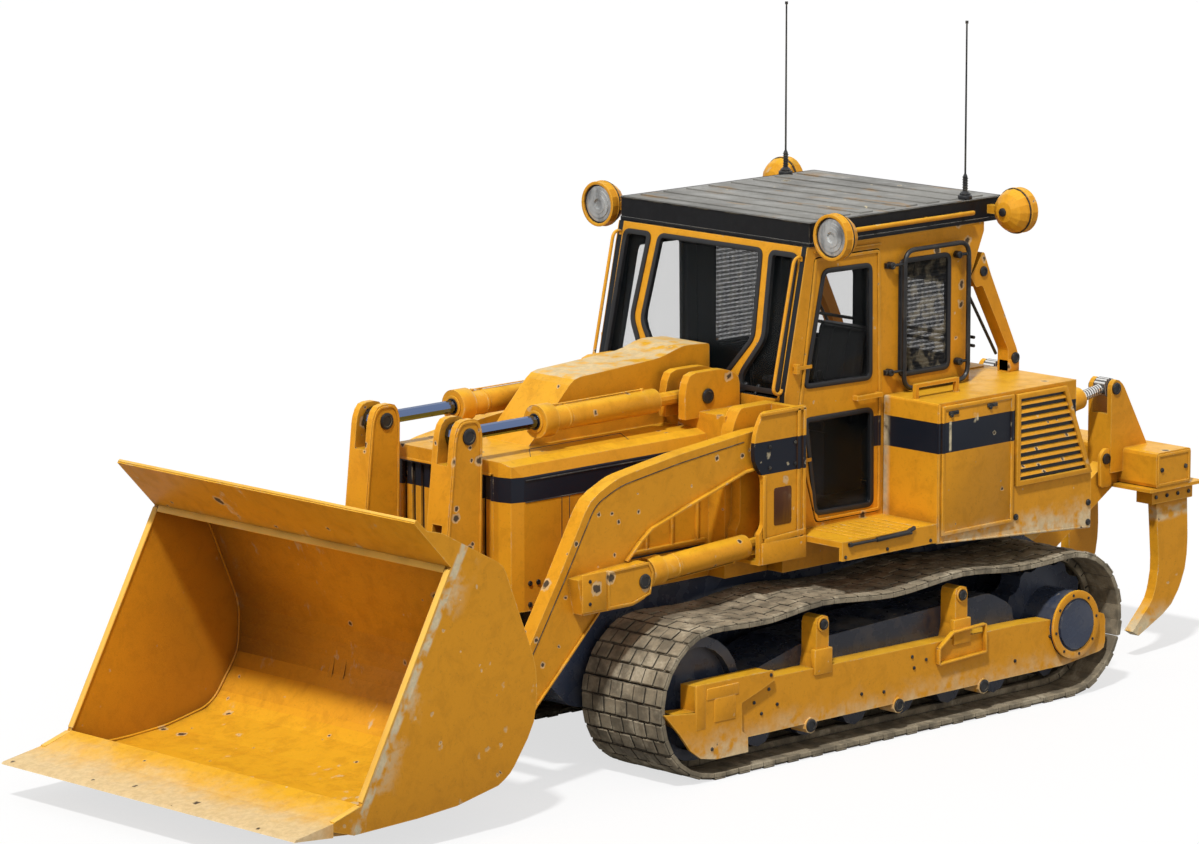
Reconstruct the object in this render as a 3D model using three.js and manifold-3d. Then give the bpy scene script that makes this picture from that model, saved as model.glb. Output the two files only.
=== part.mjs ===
// Crawler loader with a front bucket and a rear ripper. Millimetres, +Z up.
// The front is -Y and the machine's left side is +X. While it is laid out, y is counted
// from the front edge of the cab roof and z from the ground; the whole group is shifted
// at the end so that its origin is under the middle of the machine.
import * as THREE from 'three';
import { mergeVertices } from 'three/addons/utils/BufferGeometryUtils.js';
import Module from 'manifold-3d';

const wasm = await Module();
wasm.setup();

// ---------------------------------------------------------------- driving dimensions
const seat = 0.3; // gap between pieces that are bolted or welded face to face
const pinGap = 0.3; // gap round a pin in its bore
const rodGap = 0.6; // gap round a rod in its barrel
const runGap = 10; // gap beside an eye in its clevis
const panelGap = 8; // gap round a door

const bucketHalf = 1450; // half the bucket's width
const bucketWall = 35; // thickness of the bucket's shell and side plates
const lipY = -5110; // front edge of the bucket's cutting edge
const edgeY = -4620; // where the cutting edge meets the bucket's shell
const trackOuter = 1420; // outer face of the tracks
const shoeWidth = 750; // width of a track shoe
const hullHalf = 600; // half the main frame's width
const hoodHalf = 620; // half the hood's width
const cabHalf = 910; // outer face of the cab's sides
const cabWall = 50; // thickness of the cab's walls and doors
const armCentre = 952; // middle of a lift arm across the machine
const armThick = 115; // thickness of a lift arm
const leverCentre = 400; // middle of a tilt lever, its cylinder and its link
const leverWidth = 200; // width of a tilt lever
const leverSlot = 100; // slot in a tilt lever
const tiltBarrelR = 82; // tilt cylinder barrel radius
const tiltRodR = 45; // tilt cylinder rod radius
const liftBarrelR = 80; // lift cylinder barrel radius
const liftRodR = 45; // lift cylinder rod radius
const ripperCentre = 540; // middle of a ripper arm and its cylinder
const ripperBarrelR = 70; // ripper cylinder barrel radius
const ripperRodR = 40; // ripper cylinder rod radius
const shankHalf = 40; // half the thickness of a ripper shank

const trackThick = 70; // track shoe and link depth inside the tread
const treadHeight = 22; // height of the pads on the shoes
const rollerZ = 225; // height of the rollers' axles
const shoeCount = 44; // shoes in one track
const endRadius = 522; // outer radius of the track at its two ends
const idlerY = -1390; // idler axle
const sprocketY = 2173; // final drive axle
const axleZ = 522; // height of both axles

const deckTop = 1435; // cab floor and side steps
const hullTop = 1160; // top of the main frame
const hullBelly = 430; // underside of the main frame
const hoodTop = 2160; // top of the hood
const hoodWall = 25; // thickness of the hood's sheet
const boxTop = 2265; // top of the side boxes and the rear deck
const roofRim = 3363; // underside of the roof's rim
const roofTop = 3530; // top of the roof
const roofFront = 0;
const roofRear = 1940;
const antennaHeight = 1240; // antenna above the roof

// pivots, as [y, z]
const armPivot = [-550, 2070];
const bucketPivot = [-2960, 470];
const leverPivot = [-2840, 1620];
const leverFoot = [-2800, 695];
const linkEnd = [-2969, 710];
const leverTop = [-2750, 2360];
const tiltBase = [-580, 2370];
const liftBase = [-400, 1420];
const liftEnd = [-1790, 1350];
const crossTube = [-2550, 860];
const ripperPivot = [2590, 800];
const ripperBase = [2500, 1780];
const ripperEnd = [3475, 1945];
const doorHinge = [cabHalf + 25, -135];

const armPinR = 60; // pins of the lift arms in the towers
const bucketPinR = 50; // pins of the bucket at the arms
const leverPinR = 45; // pins of the tilt levers
const linkPinR = 30; // pins of the tilt links
const basePinR = 40; // pins at the barrels' feet
const ripperPinR = 50; // pins of the ripper's arms
const doorPinR = 7; // pins of the door hinges
const doorHingeZ = [1910, 2550]; // heights of the door hinges

// ---------------------------------------------------------------- shape helpers
const paint = {
  yellow: [0xd9921a, 0.5, 0.3],
  shade: [0x15181f, 0.5, 0.3],
  navy: [0x1c2430, 0.4, 0.5],
  rubber: [0x5a5148, 0.9, 0.1],
  steel: [0x2d3b5c, 0.25, 0.9],
  worn: [0xb9a98a, 0.5, 0.6],
  roof: [0x5d636b, 0.6, 0.3],
  cloth: [0x17181b, 0.8, 0.0],
};

const pinSides = 12; // facets of a round pin
const group = new THREE.Group();

function solid(geometry) {
  const bare = geometry.clone();
  for (const name of Object.keys(bare.attributes)) {
    if (name !== 'position') bare.deleteAttribute(name);
  }
  const merged = mergeVertices(bare, 0.001);
  return new wasm.Manifold(new wasm.Mesh({
    numProp: 3,
    vertProperties: new Float32Array(merged.attributes.position.array),
    triVerts: new Uint32Array(merged.index.array),
  }));
}

function join(...pieces) {
  return pieces.flat().reduce((all, piece) => all.add(piece));
}

function cut(body, ...tools) {
  return tools.flat().reduce((all, tool) => all.subtract(tool), body);
}

function box(x0, x1, y0, y1, z0, z1) {
  const block = new THREE.BoxGeometry(x1 - x0, y1 - y0, z1 - z0);
  return solid(block.translate((x0 + x1) / 2, (y0 + y1) / 2, (z0 + z1) / 2));
}

// An outline as a shape: a point [a, b] is a corner, and [a, b, r] a corner rounded by r,
// or by just under half of a shorter edge beside it.
function outline(points) {
  const shape = new THREE.Shape();
  points.forEach((point, index) => {
    const before = new THREE.Vector2(...points.at(index - 1).slice(0, 2));
    const corner = new THREE.Vector2(...point.slice(0, 2));
    const after = new THREE.Vector2(...points[(index + 1) % points.length].slice(0, 2));
    const radius = Math.min(point[2] ?? 0, before.distanceTo(corner) * 0.49, after.distanceTo(corner) * 0.49);
    const enter = corner.clone().add(before.sub(corner).setLength(radius));
    const leave = corner.clone().add(after.sub(corner).setLength(radius));
    if (index === 0) shape.moveTo(enter.x, enter.y);
    else shape.lineTo(enter.x, enter.y);
    if (point[2]) shape.quadraticCurveTo(corner.x, corner.y, leave.x, leave.y);
  });
  return shape;
}

// The points of a loop where it bends, without those on a straight stretch.
function bendsOf(points) {
  return points.filter((point, index) => {
    const into = point.clone().sub(points.at(index - 1)).normalize();
    const outOf = points[(index + 1) % points.length].clone().sub(point).normalize();
    return Math.abs(into.cross(outOf)) > 1e-4;
  });
}

function extruded(points, depth, curveSegments = 2) {
  return new THREE.ExtrudeGeometry(outline(points), { depth, bevelEnabled: false, curveSegments });
}

const sideways = new THREE.Matrix4().makeBasis(
  new THREE.Vector3(0, 1, 0), new THREE.Vector3(0, 0, 1), new THREE.Vector3(1, 0, 0));
const facing = new THREE.Matrix4().makeBasis(
  new THREE.Vector3(1, 0, 0), new THREE.Vector3(0, 0, 1), new THREE.Vector3(0, -1, 0));

// A side outline of [y, z] points, from x0 to x1.
function plate(points, x0, x1) {
  return solid(extruded(points, x1 - x0).applyMatrix4(sideways).translate(x0, 0, 0));
}

// A front outline of [x, z] points, from y0 to y1.
function sheet(points, y0, y1) {
  return solid(extruded(points, y1 - y0).applyMatrix4(facing).translate(0, y1, 0));
}

// A plan outline of [x, y] points, from z0 to z1.
function slab(points, z0, z1) {
  return solid(extruded(points, z1 - z0).translate(0, 0, z0));
}

// A round bar along X, centred on the pivot [y, z].
function pin([y, z], radius, x0, x1, sides = pinSides) {
  const bar = new THREE.CylinderGeometry(radius, radius, x1 - x0, sides);
  return solid(bar.rotateZ(-Math.PI / 2).translate((x0 + x1) / 2, y, z));
}

// A turned piece along the line from one pivot towards another, in the plane at x:
// profile is a list of [distance along the line, radius].
function turned(profile, from, to, x, sides = 12) {
  const points = profile.map(([along, radius]) => new THREE.Vector2(radius, along));
  const closed = [new THREE.Vector2(0, points[0].y), ...points, new THREE.Vector2(0, points.at(-1).y)];
  const angle = Math.atan2(to[1] - from[1], to[0] - from[0]);
  const piece = new THREE.LatheGeometry(closed, sides);
  return solid(piece.rotateX(angle).translate(x, from[0], from[1]));
}

function distance(a, b) {
  return Math.hypot(b[0] - a[0], b[1] - a[1]);
}

// A hole along X for a pin of this radius, half a facet round from the pin, so that its
// flats clear the pin at every turn.
function bore([y, z], pinRadius, x0, x1) {
  const radius = (pinRadius + pinGap) / Math.cos(Math.PI / pinSides);
  const hole = new THREE.CylinderGeometry(radius, radius, x1 - x0, pinSides, 1, false, Math.PI / pinSides);
  return solid(hole.rotateZ(-Math.PI / 2).translate((x0 + x1) / 2, y, z));
}

// An upright pin at [x, y].
function post([x, y], radius, z0, z1, start = 0) {
  const bar = new THREE.CylinderGeometry(radius, radius, z1 - z0, pinSides, 1, false, start);
  return solid(bar.rotateX(Math.PI / 2).translate(x, y, (z0 + z1) / 2));
}

// Both ends of a stretch across the machine, in rising order, on the left or the right.
function spanOn(side, a, b) {
  return [Math.min(side * a, side * b), Math.max(side * a, side * b)];
}

function mirrorX(geometry) {
  const flipped = geometry.clone();
  flipped.scale(-1, 1, 1);
  const order = flipped.index.array;
  for (let i = 0; i < order.length; i += 3) {
    [order[i + 1], order[i + 2]] = [order[i + 2], order[i + 1]];
  }
  return flipped;
}

function geometryOf(body) {
  const mesh = body.getMesh();
  const geometry = new THREE.BufferGeometry();
  geometry.setAttribute('position', new THREE.BufferAttribute(mesh.vertProperties, 3));
  geometry.setIndex(new THREE.BufferAttribute(mesh.triVerts, 1));
  return geometry;
}

function place(name, geometry, [color, roughness, metalness]) {
  const material = new THREE.MeshStandardMaterial({ color, roughness, metalness });
  const mesh = new THREE.Mesh(geometry, material);
  mesh.name = name;
  group.add(mesh);
}

function add(name, body, finish) {
  place(name, geometryOf(body), finish);
}

// One piece on the left (+X) and its mirror image on the right.
function addPair(name, body, finish) {
  const left = geometryOf(body);
  place(`${name}_left`, left, finish);
  place(`${name}_right`, mirrorX(left), finish);
}

// ---------------------------------------------------------------- undercarriage
const trackInner = trackOuter - shoeWidth;

// Outer height of the top run, which hangs between the idler, two carriers and the sprocket.
const carrierY = [-364, 1014];
const carrierTop = 1075;
const runSag = 45;
const treadDepth = trackThick + treadHeight;

function trackPath() {
  const path = new THREE.CurvePath();
  const idler = new THREE.Vector2(idlerY, axleZ);
  const sprocket = new THREE.Vector2(sprocketY, axleZ);
  const radius = endRadius - treadHeight;
  const lift = carrierTop - treadHeight;
  const top = axleZ + radius;
  const bottom = axleZ - radius;
  const sagged = [
    [idlerY, top], [(idlerY + carrierY[0]) / 2, top - runSag / 3], [carrierY[0], lift],
    [(carrierY[0] + carrierY[1]) / 2, lift - runSag], [carrierY[1], lift],
    [(carrierY[1] + sprocketY) / 2, top - runSag / 3], [sprocketY, top],
  ].map(([y, z]) => new THREE.Vector2(y, z));
  const points = [];
  for (let step = 0; step <= 10; step += 1) {
    const turn = -Math.PI / 2 - (Math.PI * step) / 10;
    points.push(new THREE.Vector2(Math.cos(turn), Math.sin(turn)).multiplyScalar(radius).add(idler));
  }
  points.push(...new THREE.SplineCurve(sagged).getPoints(24).slice(1));
  for (let step = 1; step <= 10; step += 1) {
    const turn = Math.PI / 2 - (Math.PI * step) / 10;
    points.push(new THREE.Vector2(Math.cos(turn), Math.sin(turn)).multiplyScalar(radius).add(sprocket));
  }
  points.push(new THREE.Vector2(idlerY, bottom));
  points.slice(1).forEach((point, index) => path.add(new THREE.LineCurve(points[index], point)));
  return path;
}

// The loop with a raised pad on every shoe, as one outline with a hole.
function track() {
  const path = trackPath();
  const padLine = [[0, 0], [0.1, 0], [0.13, treadHeight], [0.97, treadHeight]];
  const offset = (share, height) => {
    const along = path.getTangentAt(share);
    return path.getPointAt(share).addScaledVector(new THREE.Vector2(-along.y, along.x), height);
  };
  const outer = [];
  const inner = [];
  for (let shoe = 0; shoe < shoeCount; shoe += 1) {
    padLine.forEach(([share, height]) => outer.push(offset((shoe + share) / shoeCount, height)));
    [0.25, 0.75].forEach((share) => inner.push(offset((shoe + share) / shoeCount, -trackThick)));
  }
  const shape = new THREE.Shape(outer);
  shape.holes.push(new THREE.Path(bendsOf(inner).reverse()));
  const loop = new THREE.ExtrudeGeometry(shape, { depth: shoeWidth, bevelEnabled: false });
  return solid(loop.applyMatrix4(sideways).translate(trackInner, 0, 0));
}

const loopRadius = endRadius - treadDepth; // radius free inside the ends of the track
const wheelR = loopRadius - 12;
const wheelInner = trackInner + 200;
const wheelOuter = trackOuter - 190;
const guardInner = wheelOuter + 40;
const guardOuter = trackOuter - 12;
const footLow = 150; // underside of a guard's front foot
function idler() {
  const hub = pin([idlerY, axleZ], 130, wheelInner - 20, guardInner - seat, 12);
  const rim = pin([idlerY, axleZ], wheelR, wheelInner, wheelOuter, 24);
  const web = pin([idlerY, axleZ], wheelR - 70, wheelOuter - 60, wheelOuter + 10, 24);
  return join(cut(rim, web), hub);
}

// Sprocket with its teeth rounded off into lobes, hub and axle into the main frame.
function finalDrive() {
  const teeth = 12;
  const points = [];
  for (let step = 0; step < teeth * 4; step += 1) {
    const turn = (2 * Math.PI * step) / (teeth * 4);
    const radius = step % 4 < 2 ? wheelR : wheelR - 40;
    points.push([sprocketY + radius * Math.cos(turn), axleZ + radius * Math.sin(turn)]);
  }
  const sprocket = plate(points, wheelInner + 90, wheelOuter - 90);
  const housing = pin([sprocketY, axleZ], 190, hullHalf + seat, wheelInner + 120, 16);
  const cover = pin([sprocketY, axleZ], 235, wheelOuter - 120, trackOuter + 10, 20);
  const cap = pin([sprocketY, axleZ], 175, trackOuter, trackOuter + 30, 16);
  return join(housing, sprocket, cover, cap);
}

const rollerR = rollerZ - treadDepth - seat; // the rollers stand on the track's inside
const frameFront = idlerY + 480;
const frameRear = sprocketY - 470;

// Box girder between the idler and the sprocket, with its rollers, and cross shaft to the hull.
function trackFrame() {
  const girder = plate([
    [frameFront, 260], [frameRear, 260], [frameRear, 700, 90], [frameRear - 250, 830, 60],
    [frameFront + 500, 760, 60], [frameFront, 640, 60],
  ], trackInner + 110, guardInner - seat);
  const shaft = box(hullHalf + seat, trackInner + 200, 500, 760, 460, 640);
  const fork = box(trackInner + 110, wheelInner - 30, idlerY - 90, frameFront + 50, axleZ - 90, axleZ + 90);
  const rollers = [];
  for (let index = 0; index < 6; index += 1) {
    const y = frameFront + 130 + (index * (frameRear - frameFront - 260)) / 5;
    rollers.push(pin([y, rollerZ], rollerR, trackInner + 170, guardInner - 60, 10));
  }
  return join(girder, shaft, fork, rollers);
}

// Outer guard of the track frame: the yellow beam, its feet and the two carrier posts.
function rollerGuard() {
  const beam = plate([
    [-1570, 660], [-1570, 490], [-1780, 505], [-1780, 440, 40], [-1400, 240], [-1390, footLow],
    [-1090, footLow], [-1080, 240], [2080, 240, 30], [2520, 290, 60], [2520, 560, 60], [1650, 600],
    [-840, 612], [-870, 660],
  ], guardInner, guardOuter);
  const tip = plate([
    [-1600, 672], [-1590, 490], [-1890, 520], [-1746, 366], [-1650, 245], [-1553, 177], [-1408, footLow],
    [-1108, footLow], [-1112, 257], [-1166, 300], [-1170, 492], [-967, 560], [-860, 600], [-874, 669],
  ], trackOuter + 4, guardOuter + 36);
  const tipRoot = plate([
    [-1565, 600], [-1565, 470], [-1690, 450], [-1400, 280], [-1200, 280], [-1200, 480], [-1000, 600],
  ], guardOuter - 1, trackOuter + 5);
  const opening = pin([sprocketY, axleZ], 235 + panelGap, guardInner - 1, guardOuter + 1, 20);
  const posts = carrierY.map((y) => plate([
    [y - 90, 560], [y + 90, 560], [y + 60, 700], [y + 60, 960, 50], [y - 60, 960, 50], [y - 60, 700],
  ], guardInner, guardOuter));
  const caps = [-483, 381, 1241].map((y) => pin([y, rollerZ], 55, guardInner, guardOuter + 12, 10));
  return join(cut(beam, opening), tip, tipRoot, posts, caps);
}

// ---------------------------------------------------------------- main frame
const bulkheadFront = 2330; // rear face of the rear deck and side boxes
const bulkheadRear = 2450;
const clevisHalf = 60 + runGap; // half the gap in the ripper's clevises
const lugThick = 40;

function ripperLugs() {
  const side = [
    [bulkheadFront + 40, 640], [bulkheadFront + 40, 1600], [2230, 1860],
    [ripperBase[0] - 20, ripperBase[1] + 100, 50], [ripperBase[0] + 100, ripperBase[1] + 60, 60],
    [ripperBase[0] + 90, 1650], [2500, 1500], [2500, 1000],
    [ripperPivot[0] + 110, ripperPivot[1] + 90, 60], [ripperPivot[0] + 110, ripperPivot[1] - 90, 60],
    [2440, 640],
  ];
  const inside = ripperCentre - clevisHalf;
  const outside = ripperCentre + clevisHalf;
  const one = [plate(side, inside - lugThick, inside), plate(side, outside, outside + lugThick)];
  const other = [plate(side, -inside, lugThick - inside), plate(side, -outside - lugThick, -outside)];
  const pins = [1, -1].flatMap((side) => [
    pin(ripperPivot, ripperPinR, ...spanOn(side, inside - 1, outside + 1)),
    pin(ripperBase, basePinR, ...spanOn(side, inside - 1, outside + 1)),
  ]);
  return [...one, ...other, ...pins];
}

function mainFrame() {
  const hull = plate([
    [-2300, hullTop], [-2300, 800, 80], [-1950, hullBelly + 20, 80], [-1800, hullBelly],
    [2250, hullBelly], [bulkheadRear, 640, 60], [bulkheadRear, 1580], [bulkheadFront + seat, 1580],
    [bulkheadFront + seat, hullTop],
  ], -hullHalf, hullHalf);
  const bulkhead = box(-ripperCentre - 130, ripperCentre + 130, bulkheadFront + seat, bulkheadRear, 660, 1575);
  return join(hull, bulkhead, ripperLugs());
}

// ---------------------------------------------------------------- engine and hood
const hoodFront = -2490;
const cowlFront = -660;
const humpRear = -245; // rear end of the hump, over the cowl
const humpHalf = 210;
const grilleHalf = 430;
const grilleTop = 2060;
const grilleBottom = 1250;

function hood() {
  const section = (inset) => [
    [-hoodHalf + inset, hullTop + seat - (inset && 1)], [hoodHalf - inset, hullTop + seat - (inset && 1)],
    [hoodHalf - inset, hoodTop - inset, 110], [-hoodHalf + inset, hoodTop - inset, 110],
  ];
  const plan = (inset) => [
    [-hoodHalf + inset, cowlFront - seat + (inset && 1)], [-hoodHalf + inset, hoodFront + inset, 120],
    [hoodHalf - inset, hoodFront + inset, 120], [hoodHalf - inset, cowlFront - seat + (inset && 1)],
  ];
  const outside = sheet(section(0), hoodFront, cowlFront - seat).intersect(slab(plan(0), 1000, 2400));
  const inside = sheet(section(hoodWall), hoodFront + hoodWall, cowlFront + 1)
    .intersect(slab(plan(hoodWall), 1000, 2400));
  const mouth = box(-grilleHalf, grilleHalf, hoodFront - 1, hoodFront + 100, grilleBottom, grilleTop);
  const hump = plate([
    [-1950, hoodTop - hoodWall / 2], [-1525, 2565, 60], [-720, 2608, 60], [-490, 2670, 60],
    [humpRear, 2655, 20], [humpRear, 2320], [cowlFront - seat, 2320],
    [cowlFront - seat, hoodTop - hoodWall / 2],
  ], -humpHalf, humpHalf);
  return join(cut(outside, inside, mouth), hump);
}

function grille() {
  const barStep = 86;
  const barWidth = 52;
  const front = hoodFront + 20;
  const back = hoodFront + 55;
  const low = grilleBottom + seat;
  const high = grilleTop - seat;
  const sheetBack = box(-grilleHalf + seat, grilleHalf - seat, front + 20, back, low, high);
  const bars = [];
  for (let x = -grilleHalf + 46; x < grilleHalf; x += barStep) {
    bars.push(box(x - barWidth / 2, x + barWidth / 2, front, front + 21, low, high));
  }
  return join(sheetBack, bars);
}

function engineBlock() {
  return box(-360, 360, -2200, cowlFront - 100, hullTop + seat, 1960);
}

// ---------------------------------------------------------------- loader frame
const armInner = armCentre - armThick / 2;
const armOuter = armCentre + armThick / 2;
const towerGap = liftBarrelR + 12; // half the gap between a tower's plates
const towerPlate = 36;
const towerCore = 105; // thickness of the tower's inner part
const cowlTop = 2270;
const cowlRear = -255;
const towerRear = -200; // rear edge of the towers' outer plates
const cowlHalf = armCentre - towerGap - towerCore + 20; // the cowl's sides lie inside the towers
const bracketGap = 60; // half the gap of a tilt cylinder's bracket
const bracketPlate = 65;

function towerSide(back) {
  return [
    [-640, 1290], [back, 1290], [back, 2330], [-600, 2330, 30], [-660, 2240, 60],
    [-690, armPivot[1] + 60, 50], [-690, armPivot[1] - 70, 50], [-600, 1880, 40], [-600, 1560, 30],
    [-640, 1500],
  ];
}

// Cowl across the frame, the two towers that carry the arms, and the tilt cylinders' brackets.
function loaderFrame() {
  const cowl = cut(
    box(-cowlHalf, cowlHalf, cowlFront, cowlRear, hullTop + seat, cowlTop),
    box(-560, 560, cowlFront + 30, cowlRear - 30, hullTop, cowlTop - 40));
  const parts = [cowl];
  for (const side of [1, -1]) {
    const span = (a, b) => spanOn(side, a, b);
    const inner = armCentre - towerGap;
    const outer = armCentre + towerGap;
    parts.push(plate(towerSide(cowlRear), ...span(inner - towerCore, inner)));
    parts.push(plate(towerSide(towerRear), ...span(outer, outer + towerPlate)));
    parts.push(box(...span(inner - 1, outer + 1), cowlRear - 50, cowlRear, 1290, 2330));
    parts.push(box(...span(inner - 1, outer + 1), -640, cowlRear, 1290, 1315));
    parts.push(pin(armPivot, armPinR, ...span(inner - 1, outer + 1)));
    parts.push(pin(liftBase, basePinR, ...span(inner - 1, outer + 1)));
    parts.push(pin(tiltBase, basePinR, ...span(leverCentre - bracketGap - 1, leverCentre + bracketGap + 1)));
    for (const x of [leverCentre - bracketGap - bracketPlate, leverCentre + bracketGap]) {
      parts.push(plate([
        [-790, cowlTop - 40], [-270, cowlTop - 40], [-270, 2480, 60], [-420, 2540, 60],
        [-760, 2540, 120], [-790, 2400],
      ], ...span(x, x + bracketPlate)));
    }
  }
  return join(parts);
}

// ---------------------------------------------------------------- cab
const cabRear = 1610;
const cabInner = cabHalf - cabWall;
const floorThick = 40;
const stepFront = -190;

// Floor plate with its skirt, open underneath, and the side steps over the tracks.
function platform() {
  const boxFront = 745;
  const tray = cut(
    box(-cabHalf, cabHalf, cowlRear + 15, cabRear + 8, hullTop + seat, deckTop),
    box(-cabHalf + 60, cabHalf - 60, cowlRear + 75, cabRear - 52, hullTop, deckTop - floorThick));
  const step = [];
  for (const side of [1, -1]) {
    const span = (a, b) => spanOn(side, a, b);
    step.push(box(...span(cabHalf - 10, trackOuter), stepFront, boxFront - seat, deckTop - 40, deckTop));
    step.push(box(...span(trackOuter - 30, trackOuter), stepFront, boxFront - seat, deckTop - 130, deckTop));
  }
  return join(tray, step);
}

const cabSideLine = [
  [-50, deckTop + seat], [cabRear, deckTop + seat], [cabRear, 2980], [1750, 3300],
  [1750, roofRim - seat], [-15, roofRim - seat], [-225, 2377], [-235, 2150],
];

const doorLine = [
  [59, 3280, 30], [690, 3280, 30], [713, 2200], [713, 1467, 30], [82, 1469, 30], [-115, 2105, 40],
];
const upperWindow = [[137, 3195, 50], [608, 3189, 50], [617, 2394, 60], [-42, 2407, 60]];
const lowerWindow = [[-34, 2191, 50], [630, 2187, 50], [638, 1510, 60], [68, 1520, 60]];
const rearWindow = [[894, 3180, 60], [1400, 3180, 60], [1400, 2377, 60], [894, 2377, 60]];

// The outline moved outwards by a margin.
function grown(points, margin) {
  return points.map((point, index) => {
    const corner = new THREE.Vector2(point[0], point[1]);
    const before = new THREE.Vector2(...points.at(index - 1).slice(0, 2));
    const after = new THREE.Vector2(...points[(index + 1) % points.length].slice(0, 2));
    const sign = THREE.ShapeUtils.isClockWise(points.map(([a, b]) => new THREE.Vector2(a, b))) ? -1 : 1;
    const into = corner.clone().sub(before).normalize();
    const outOf = after.clone().sub(corner).normalize();
    const normal = (d) => new THREE.Vector2(d.y, -d.x).multiplyScalar(sign);
    const half = normal(into).add(normal(outOf)).normalize();
    const shift = margin / half.dot(normal(into));
    return [corner.x + half.x * shift, corner.y + half.y * shift, point[2] ?? 0];
  });
}

const knuckle = 14; // half the width of a hinge knuckle
const knuckleTall = 24; // height of the door's knuckle, between two on the post

// The two knuckles and the pin of one hinge, on the cab's post.
function postKnuckles(z) {
  const [x, y] = doorHinge;
  const half = knuckleTall / 2 + seat;
  const leaf = (z0, z1) => box(cabHalf - 1, x + knuckle, y - knuckle, y + knuckle, z0, z1);
  return join(leaf(z - half - 20, z - half), leaf(z + half, z + half + 20),
    post(doorHinge, doorPinR, z - half - 1, z + half + 1));
}

// The knuckle of one hinge, with its strap back over the post to the door's edge.
function doorKnuckle(z) {
  const [x, y] = doorHinge;
  const low = z - knuckleTall / 2;
  const high = z + knuckleTall / 2;
  const hole = (doorPinR + pinGap) / Math.cos(Math.PI / pinSides);
  const strap = box(cabHalf + 6, x + knuckle, y - knuckle, y + knuckle, low, high);
  const arm = box(cabHalf + 6, cabHalf + 16, y, 20, low, high);
  const pad = box(cabHalf - 1, cabHalf + 16, -20, 20, low, high);
  return cut(join(strap, arm, pad), post(doorHinge, hole, low - 1, high + 1, Math.PI / pinSides));
}

function cabSide() {
  const wall = plate(cabSideLine, cabInner, cabHalf);
  const pierced = cut(wall,
    plate(grown(doorLine, panelGap), cabInner - 1, cabHalf + 1),
    plate(rearWindow, cabInner - 1, cabHalf + 1));
  return join(pierced, doorHingeZ.map(postKnuckles));
}

function door() {
  const leaf = plate(doorLine, cabInner, cabHalf);
  const windows = [upperWindow, lowerWindow].map((line) => plate(line, cabInner - 1, cabHalf + 1));
  const handle = join(
    box(cabHalf - 1, cabHalf + 45, 440, 470, 2265, 2295),
    box(cabHalf - 1, cabHalf + 45, 660, 690, 2265, 2295),
    box(cabHalf + 25, cabHalf + 45, 440, 690, 2265, 2295));
  return join(cut(leaf, windows), handle, doorHingeZ.map(doorKnuckle));
}

function cabFront() {
  const half = cabInner - seat;
  const band = plate([
    [-50, deckTop + seat], [-235, 2150], [-225, 2377], [-15, roofRim - seat],
    [35, roofRim - seat], [-175, 2377], [-185, 2150], [0, deckTop + seat],
  ], -half, half);
  const centre = sheet([[-495, 3310, 40], [495, 3310, 40], [545, 2715, 60], [285, 2375, 30],
    [-285, 2375, 30], [-545, 2715, 60]], -400, 200);
  const sides = [1, -1].map((side) => sheet([
    [side * 578, 3308, 30], [side * 830, 3308, 30], [side * 845, 2345, 30], [side * 470, 2345, 20],
    [side * 470, 2480, 20], [side * 628, 2725, 60]], -400, 200));
  return cut(band, centre, sides);
}

function cabBack() {
  const half = cabInner - seat;
  const band = plate([
    [cabRear, deckTop + seat], [cabRear, 2980], [1750, 3300], [1750, roofRim - seat],
    [1700, roofRim - seat], [1700, 3310], [cabRear - cabWall, 2990], [cabRear - cabWall, deckTop + seat],
  ], -half, half);
  const panes = [1, -1].map((side) => sheet([
    [side * 160, 2950, 50], [side * 760, 2950, 50], [side * 760, 2400, 50], [side * 160, 2400, 50],
  ], 1400, 1800));
  return cut(band, panes);
}

function roof() {
  const half = cabHalf + 2;
  const slabOut = slab([[-half, roofFront, 20], [half, roofFront, 20], [half, roofRear, 20],
    [-half, roofRear, 20]], roofRim, roofTop);
  const pocket = box(-cabInner + 60, cabInner - 60, roofFront + 120, 1640, roofRim - 1, roofTop - 50);
  return cut(slabOut, pocket);
}

function seatPiece() {
  const shell = plate([
    [820, 1900, 40], [1330, 1880, 40], [1470, 2560, 60], [1340, 2590, 60], [1230, 2060, 40],
    [800, 2030, 60],
  ], -260, 260);
  return join(shell, box(-200, 200, 900, 1280, deckTop + seat, 1901));
}

function console() {
  const dash = plate([[0, 1800], [260, 1800], [260, 2120, 30], [0, 2300, 30]], -400, 400);
  return join(dash, box(-60, 60, 60, 200, deckTop + seat, 1801));
}

// ---------------------------------------------------------------- rear body
const boxRearLine = [[2160, boxTop], [2160, 1920], [bulkheadFront, 1580]];

function sideBox() {
  const body = plate([
    [745, 1294], [745, boxTop, 15], ...boxRearLine, [bulkheadFront, 1190, 15],
  ], cabHalf + 5, trackOuter);
  const handle = join(
    box(1150, 1180, 780, 810, boxTop - 1, boxTop + 100),
    box(1150, 1180, 1185, 1215, boxTop - 1, boxTop + 100),
    box(1150, 1180, 780, 1215, boxTop + 75, boxTop + 100));
  return join(body, handle);
}

function rearDeck() {
  const rearFoot = hullTop + seat;
  const half = cabHalf + 5 - seat;
  return plate([
    [cabRear + 10, rearFoot], [cabRear + 10, boxTop, 10], ...boxRearLine, [bulkheadFront, rearFoot],
  ], -half, half);
}

function roofBrace() {
  const bar = plate([
    [1775, 3150, 20], [1640, 2985, 10], [1700, 2900, 20], [1760, 2915, 20], [2040, 2420, 20],
    [2040, boxTop + seat], [2150, boxTop + seat], [2150, 2380, 60], [1850, 2980, 30],
  ], 790, 890);
  return bar;
}

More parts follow.
